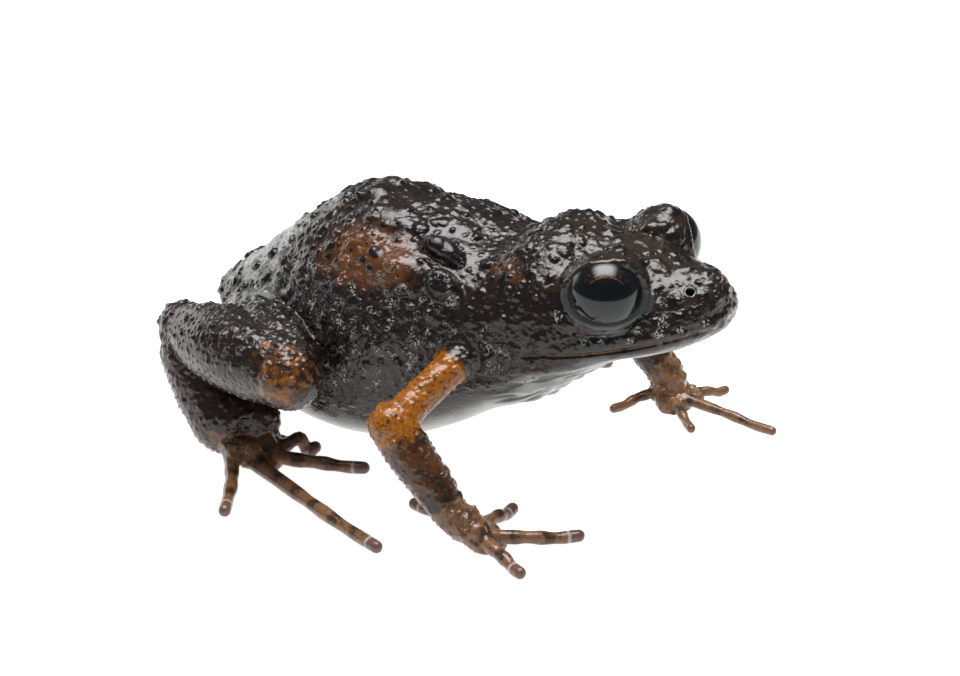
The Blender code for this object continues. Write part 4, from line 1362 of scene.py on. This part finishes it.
def add_softbox(name, place, width, depth, radiance):
    """A softbox aimed at the frog, given by its radiance, which fades towards its edges."""
    data = bpy.data.lights.new(name, "AREA")
    data.shape = "RECTANGLE"
    data.size, data.size_y = width, depth
    data.energy = radiance * math.pi * width * depth
    data.use_nodes = True
    tree = data.node_tree
    spot = add_node(tree, "NewGeometry", out="Parametric")
    held = add_node(tree, "Value")
    held.default_value = 1.0
    for axis in ("X", "Y"):
        part = add_node(tree, "SeparateXYZ", links={0: spot}, out=axis)
        for edge, inwards in ((0.0, EDGE_FADE), (1.0, 1 - EDGE_FADE)):
            share = add_node(
                tree, "MapRange", {"From Min": edge, "From Max": inwards}, {"Value": part},
                interpolation_type="SMOOTHSTEP",
            )
            held = add_node(tree, "Math", links={0: held, 1: share}, operation="MULTIPLY")
    tree.links.new(held, tree.nodes["Emission"].inputs["Strength"])
    light = linked(name, data)
    light.location = place
    across = (math.cos(math.radians(AZIMUTH)), math.sin(math.radians(AZIMUTH)), 0)
    light.rotation_euler = upright_on(place - FROG_HEART, across).to_euler()


# Operators


class MOSSFROG_OT_skin(bpy.types.Operator):
    """Fuse, wart and colour the frog's skin"""

    bl_idname = "mossfrog.skin"
    bl_label = "Skin"
    bl_options = {"REGISTER", "UNDO"}

    def execute(self, context):
        skin = worked_skin("frog_skin")
        if len(skin.data.polygons) == 0:
            raise RuntimeError("The bodies didn't fuse into one skin.")
        skin.data.materials.clear()
        skin.data.materials.append(skin_material())
        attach(skin, "root")
        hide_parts(*FLESH)
        return {"FINISHED"}


class MOSSFROG_OT_eyes(bpy.types.Operator):
    """Set both eyeballs between their lids"""

    bl_idname = "mossfrog.eyes"
    bl_label = "Eyes"
    bl_options = {"REGISTER", "UNDO"}

    def execute(self, context):
        finish = eye_material()
        for name, node, side in (("frog_eye_left", "eye_left", 1), ("frog_eye_right", "eye_right", -1)):
            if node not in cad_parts:
                raise RuntimeError(f"The frame has no {node}.")
            eye = eyeball(name, node, side)
            eye.data.materials.append(finish)
            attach(eye, "root")
            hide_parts(node)
        return {"FINISHED"}


class MOSSFROG_OT_stage(bpy.types.Operator):
    """Lay the floor, and set the softbox, the side panel and the camera"""

    bl_idname = "mossfrog.stage"
    bl_label = "Stage"
    bl_options = {"REGISTER", "UNDO"}

    def execute(self, context):
        floor = floor_sheet("floor")
        floor.data.materials.append(floor_material())
        floor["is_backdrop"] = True
        away = Vector((-camera_back().x, -camera_back().y, 0)).normalized()
        overhead = away * SOFTBOX_BEHIND + Vector((0, 0, SOFTBOX_HEIGHT))
        add_softbox("softbox", overhead, *SOFTBOX_SPREAD, SOFTBOX_RADIANCE)
        add_softbox("side_panel", Vector(PANEL_AT), *PANEL_SPREAD, PANEL_RADIANCE)
        world = bpy.data.worlds.new("dim_studio")
        world.use_nodes = True
        background = world.node_tree.nodes["Background"]
        background.inputs["Color"].default_value = ROOM_COLOUR
        background.inputs["Strength"].default_value = ROOM_RADIANCE
        context.scene.world = world
        context.scene.view_settings.view_transform = "Standard"
        add_camera()
        if context.scene.camera is None:
            raise RuntimeError("The scene has no camera.")
        return {"FINISHED"}


class MOSSFROG_PT_panel(bpy.types.Panel):
    """Buttons for the pieces of the frog, with its sizes and colours"""

    bl_idname = "MOSSFROG_PT_panel"
    bl_label = "Moss Frog"
    bl_space_type = "VIEW_3D"
    bl_region_type = "UI"
    bl_category = "Moss Frog"

    def draw(self, context):
        column = self.layout.column(align=True)
        for operator in OPERATORS:
            column.operator(operator.bl_idname)
        for group in settings():
            column.separator()
            for name in group.__annotations__:
                column.prop(group, name)


OPERATORS = (MOSSFROG_OT_skin, MOSSFROG_OT_eyes, MOSSFROG_OT_stage)
CLASSES = (FrogSizes, FrogColours, *OPERATORS, MOSSFROG_PT_panel)


def register():
    for made in CLASSES:
        bpy.utils.register_class(made)
    bpy.types.Scene.moss_frog_sizes = PointerProperty(type=FrogSizes)
    bpy.types.Scene.moss_frog_colours = PointerProperty(type=FrogColours)


def unregister():
    del bpy.types.Scene.moss_frog_colours
    del bpy.types.Scene.moss_frog_sizes
    for made in reversed(CLASSES):
        bpy.utils.unregister_class(made)


def main():
    register()
    bpy.ops.mossfrog.skin()
    bpy.ops.mossfrog.eyes()
    bpy.ops.mossfrog.stage()
    bpy.context.view_layer.update()
    boxes = {"cad": PACKED_BOX, "visual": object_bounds()}
    {name: [list(corner) for corner in box] for name, box in boxes.items()}


if __name__ == "__main__":
    main()
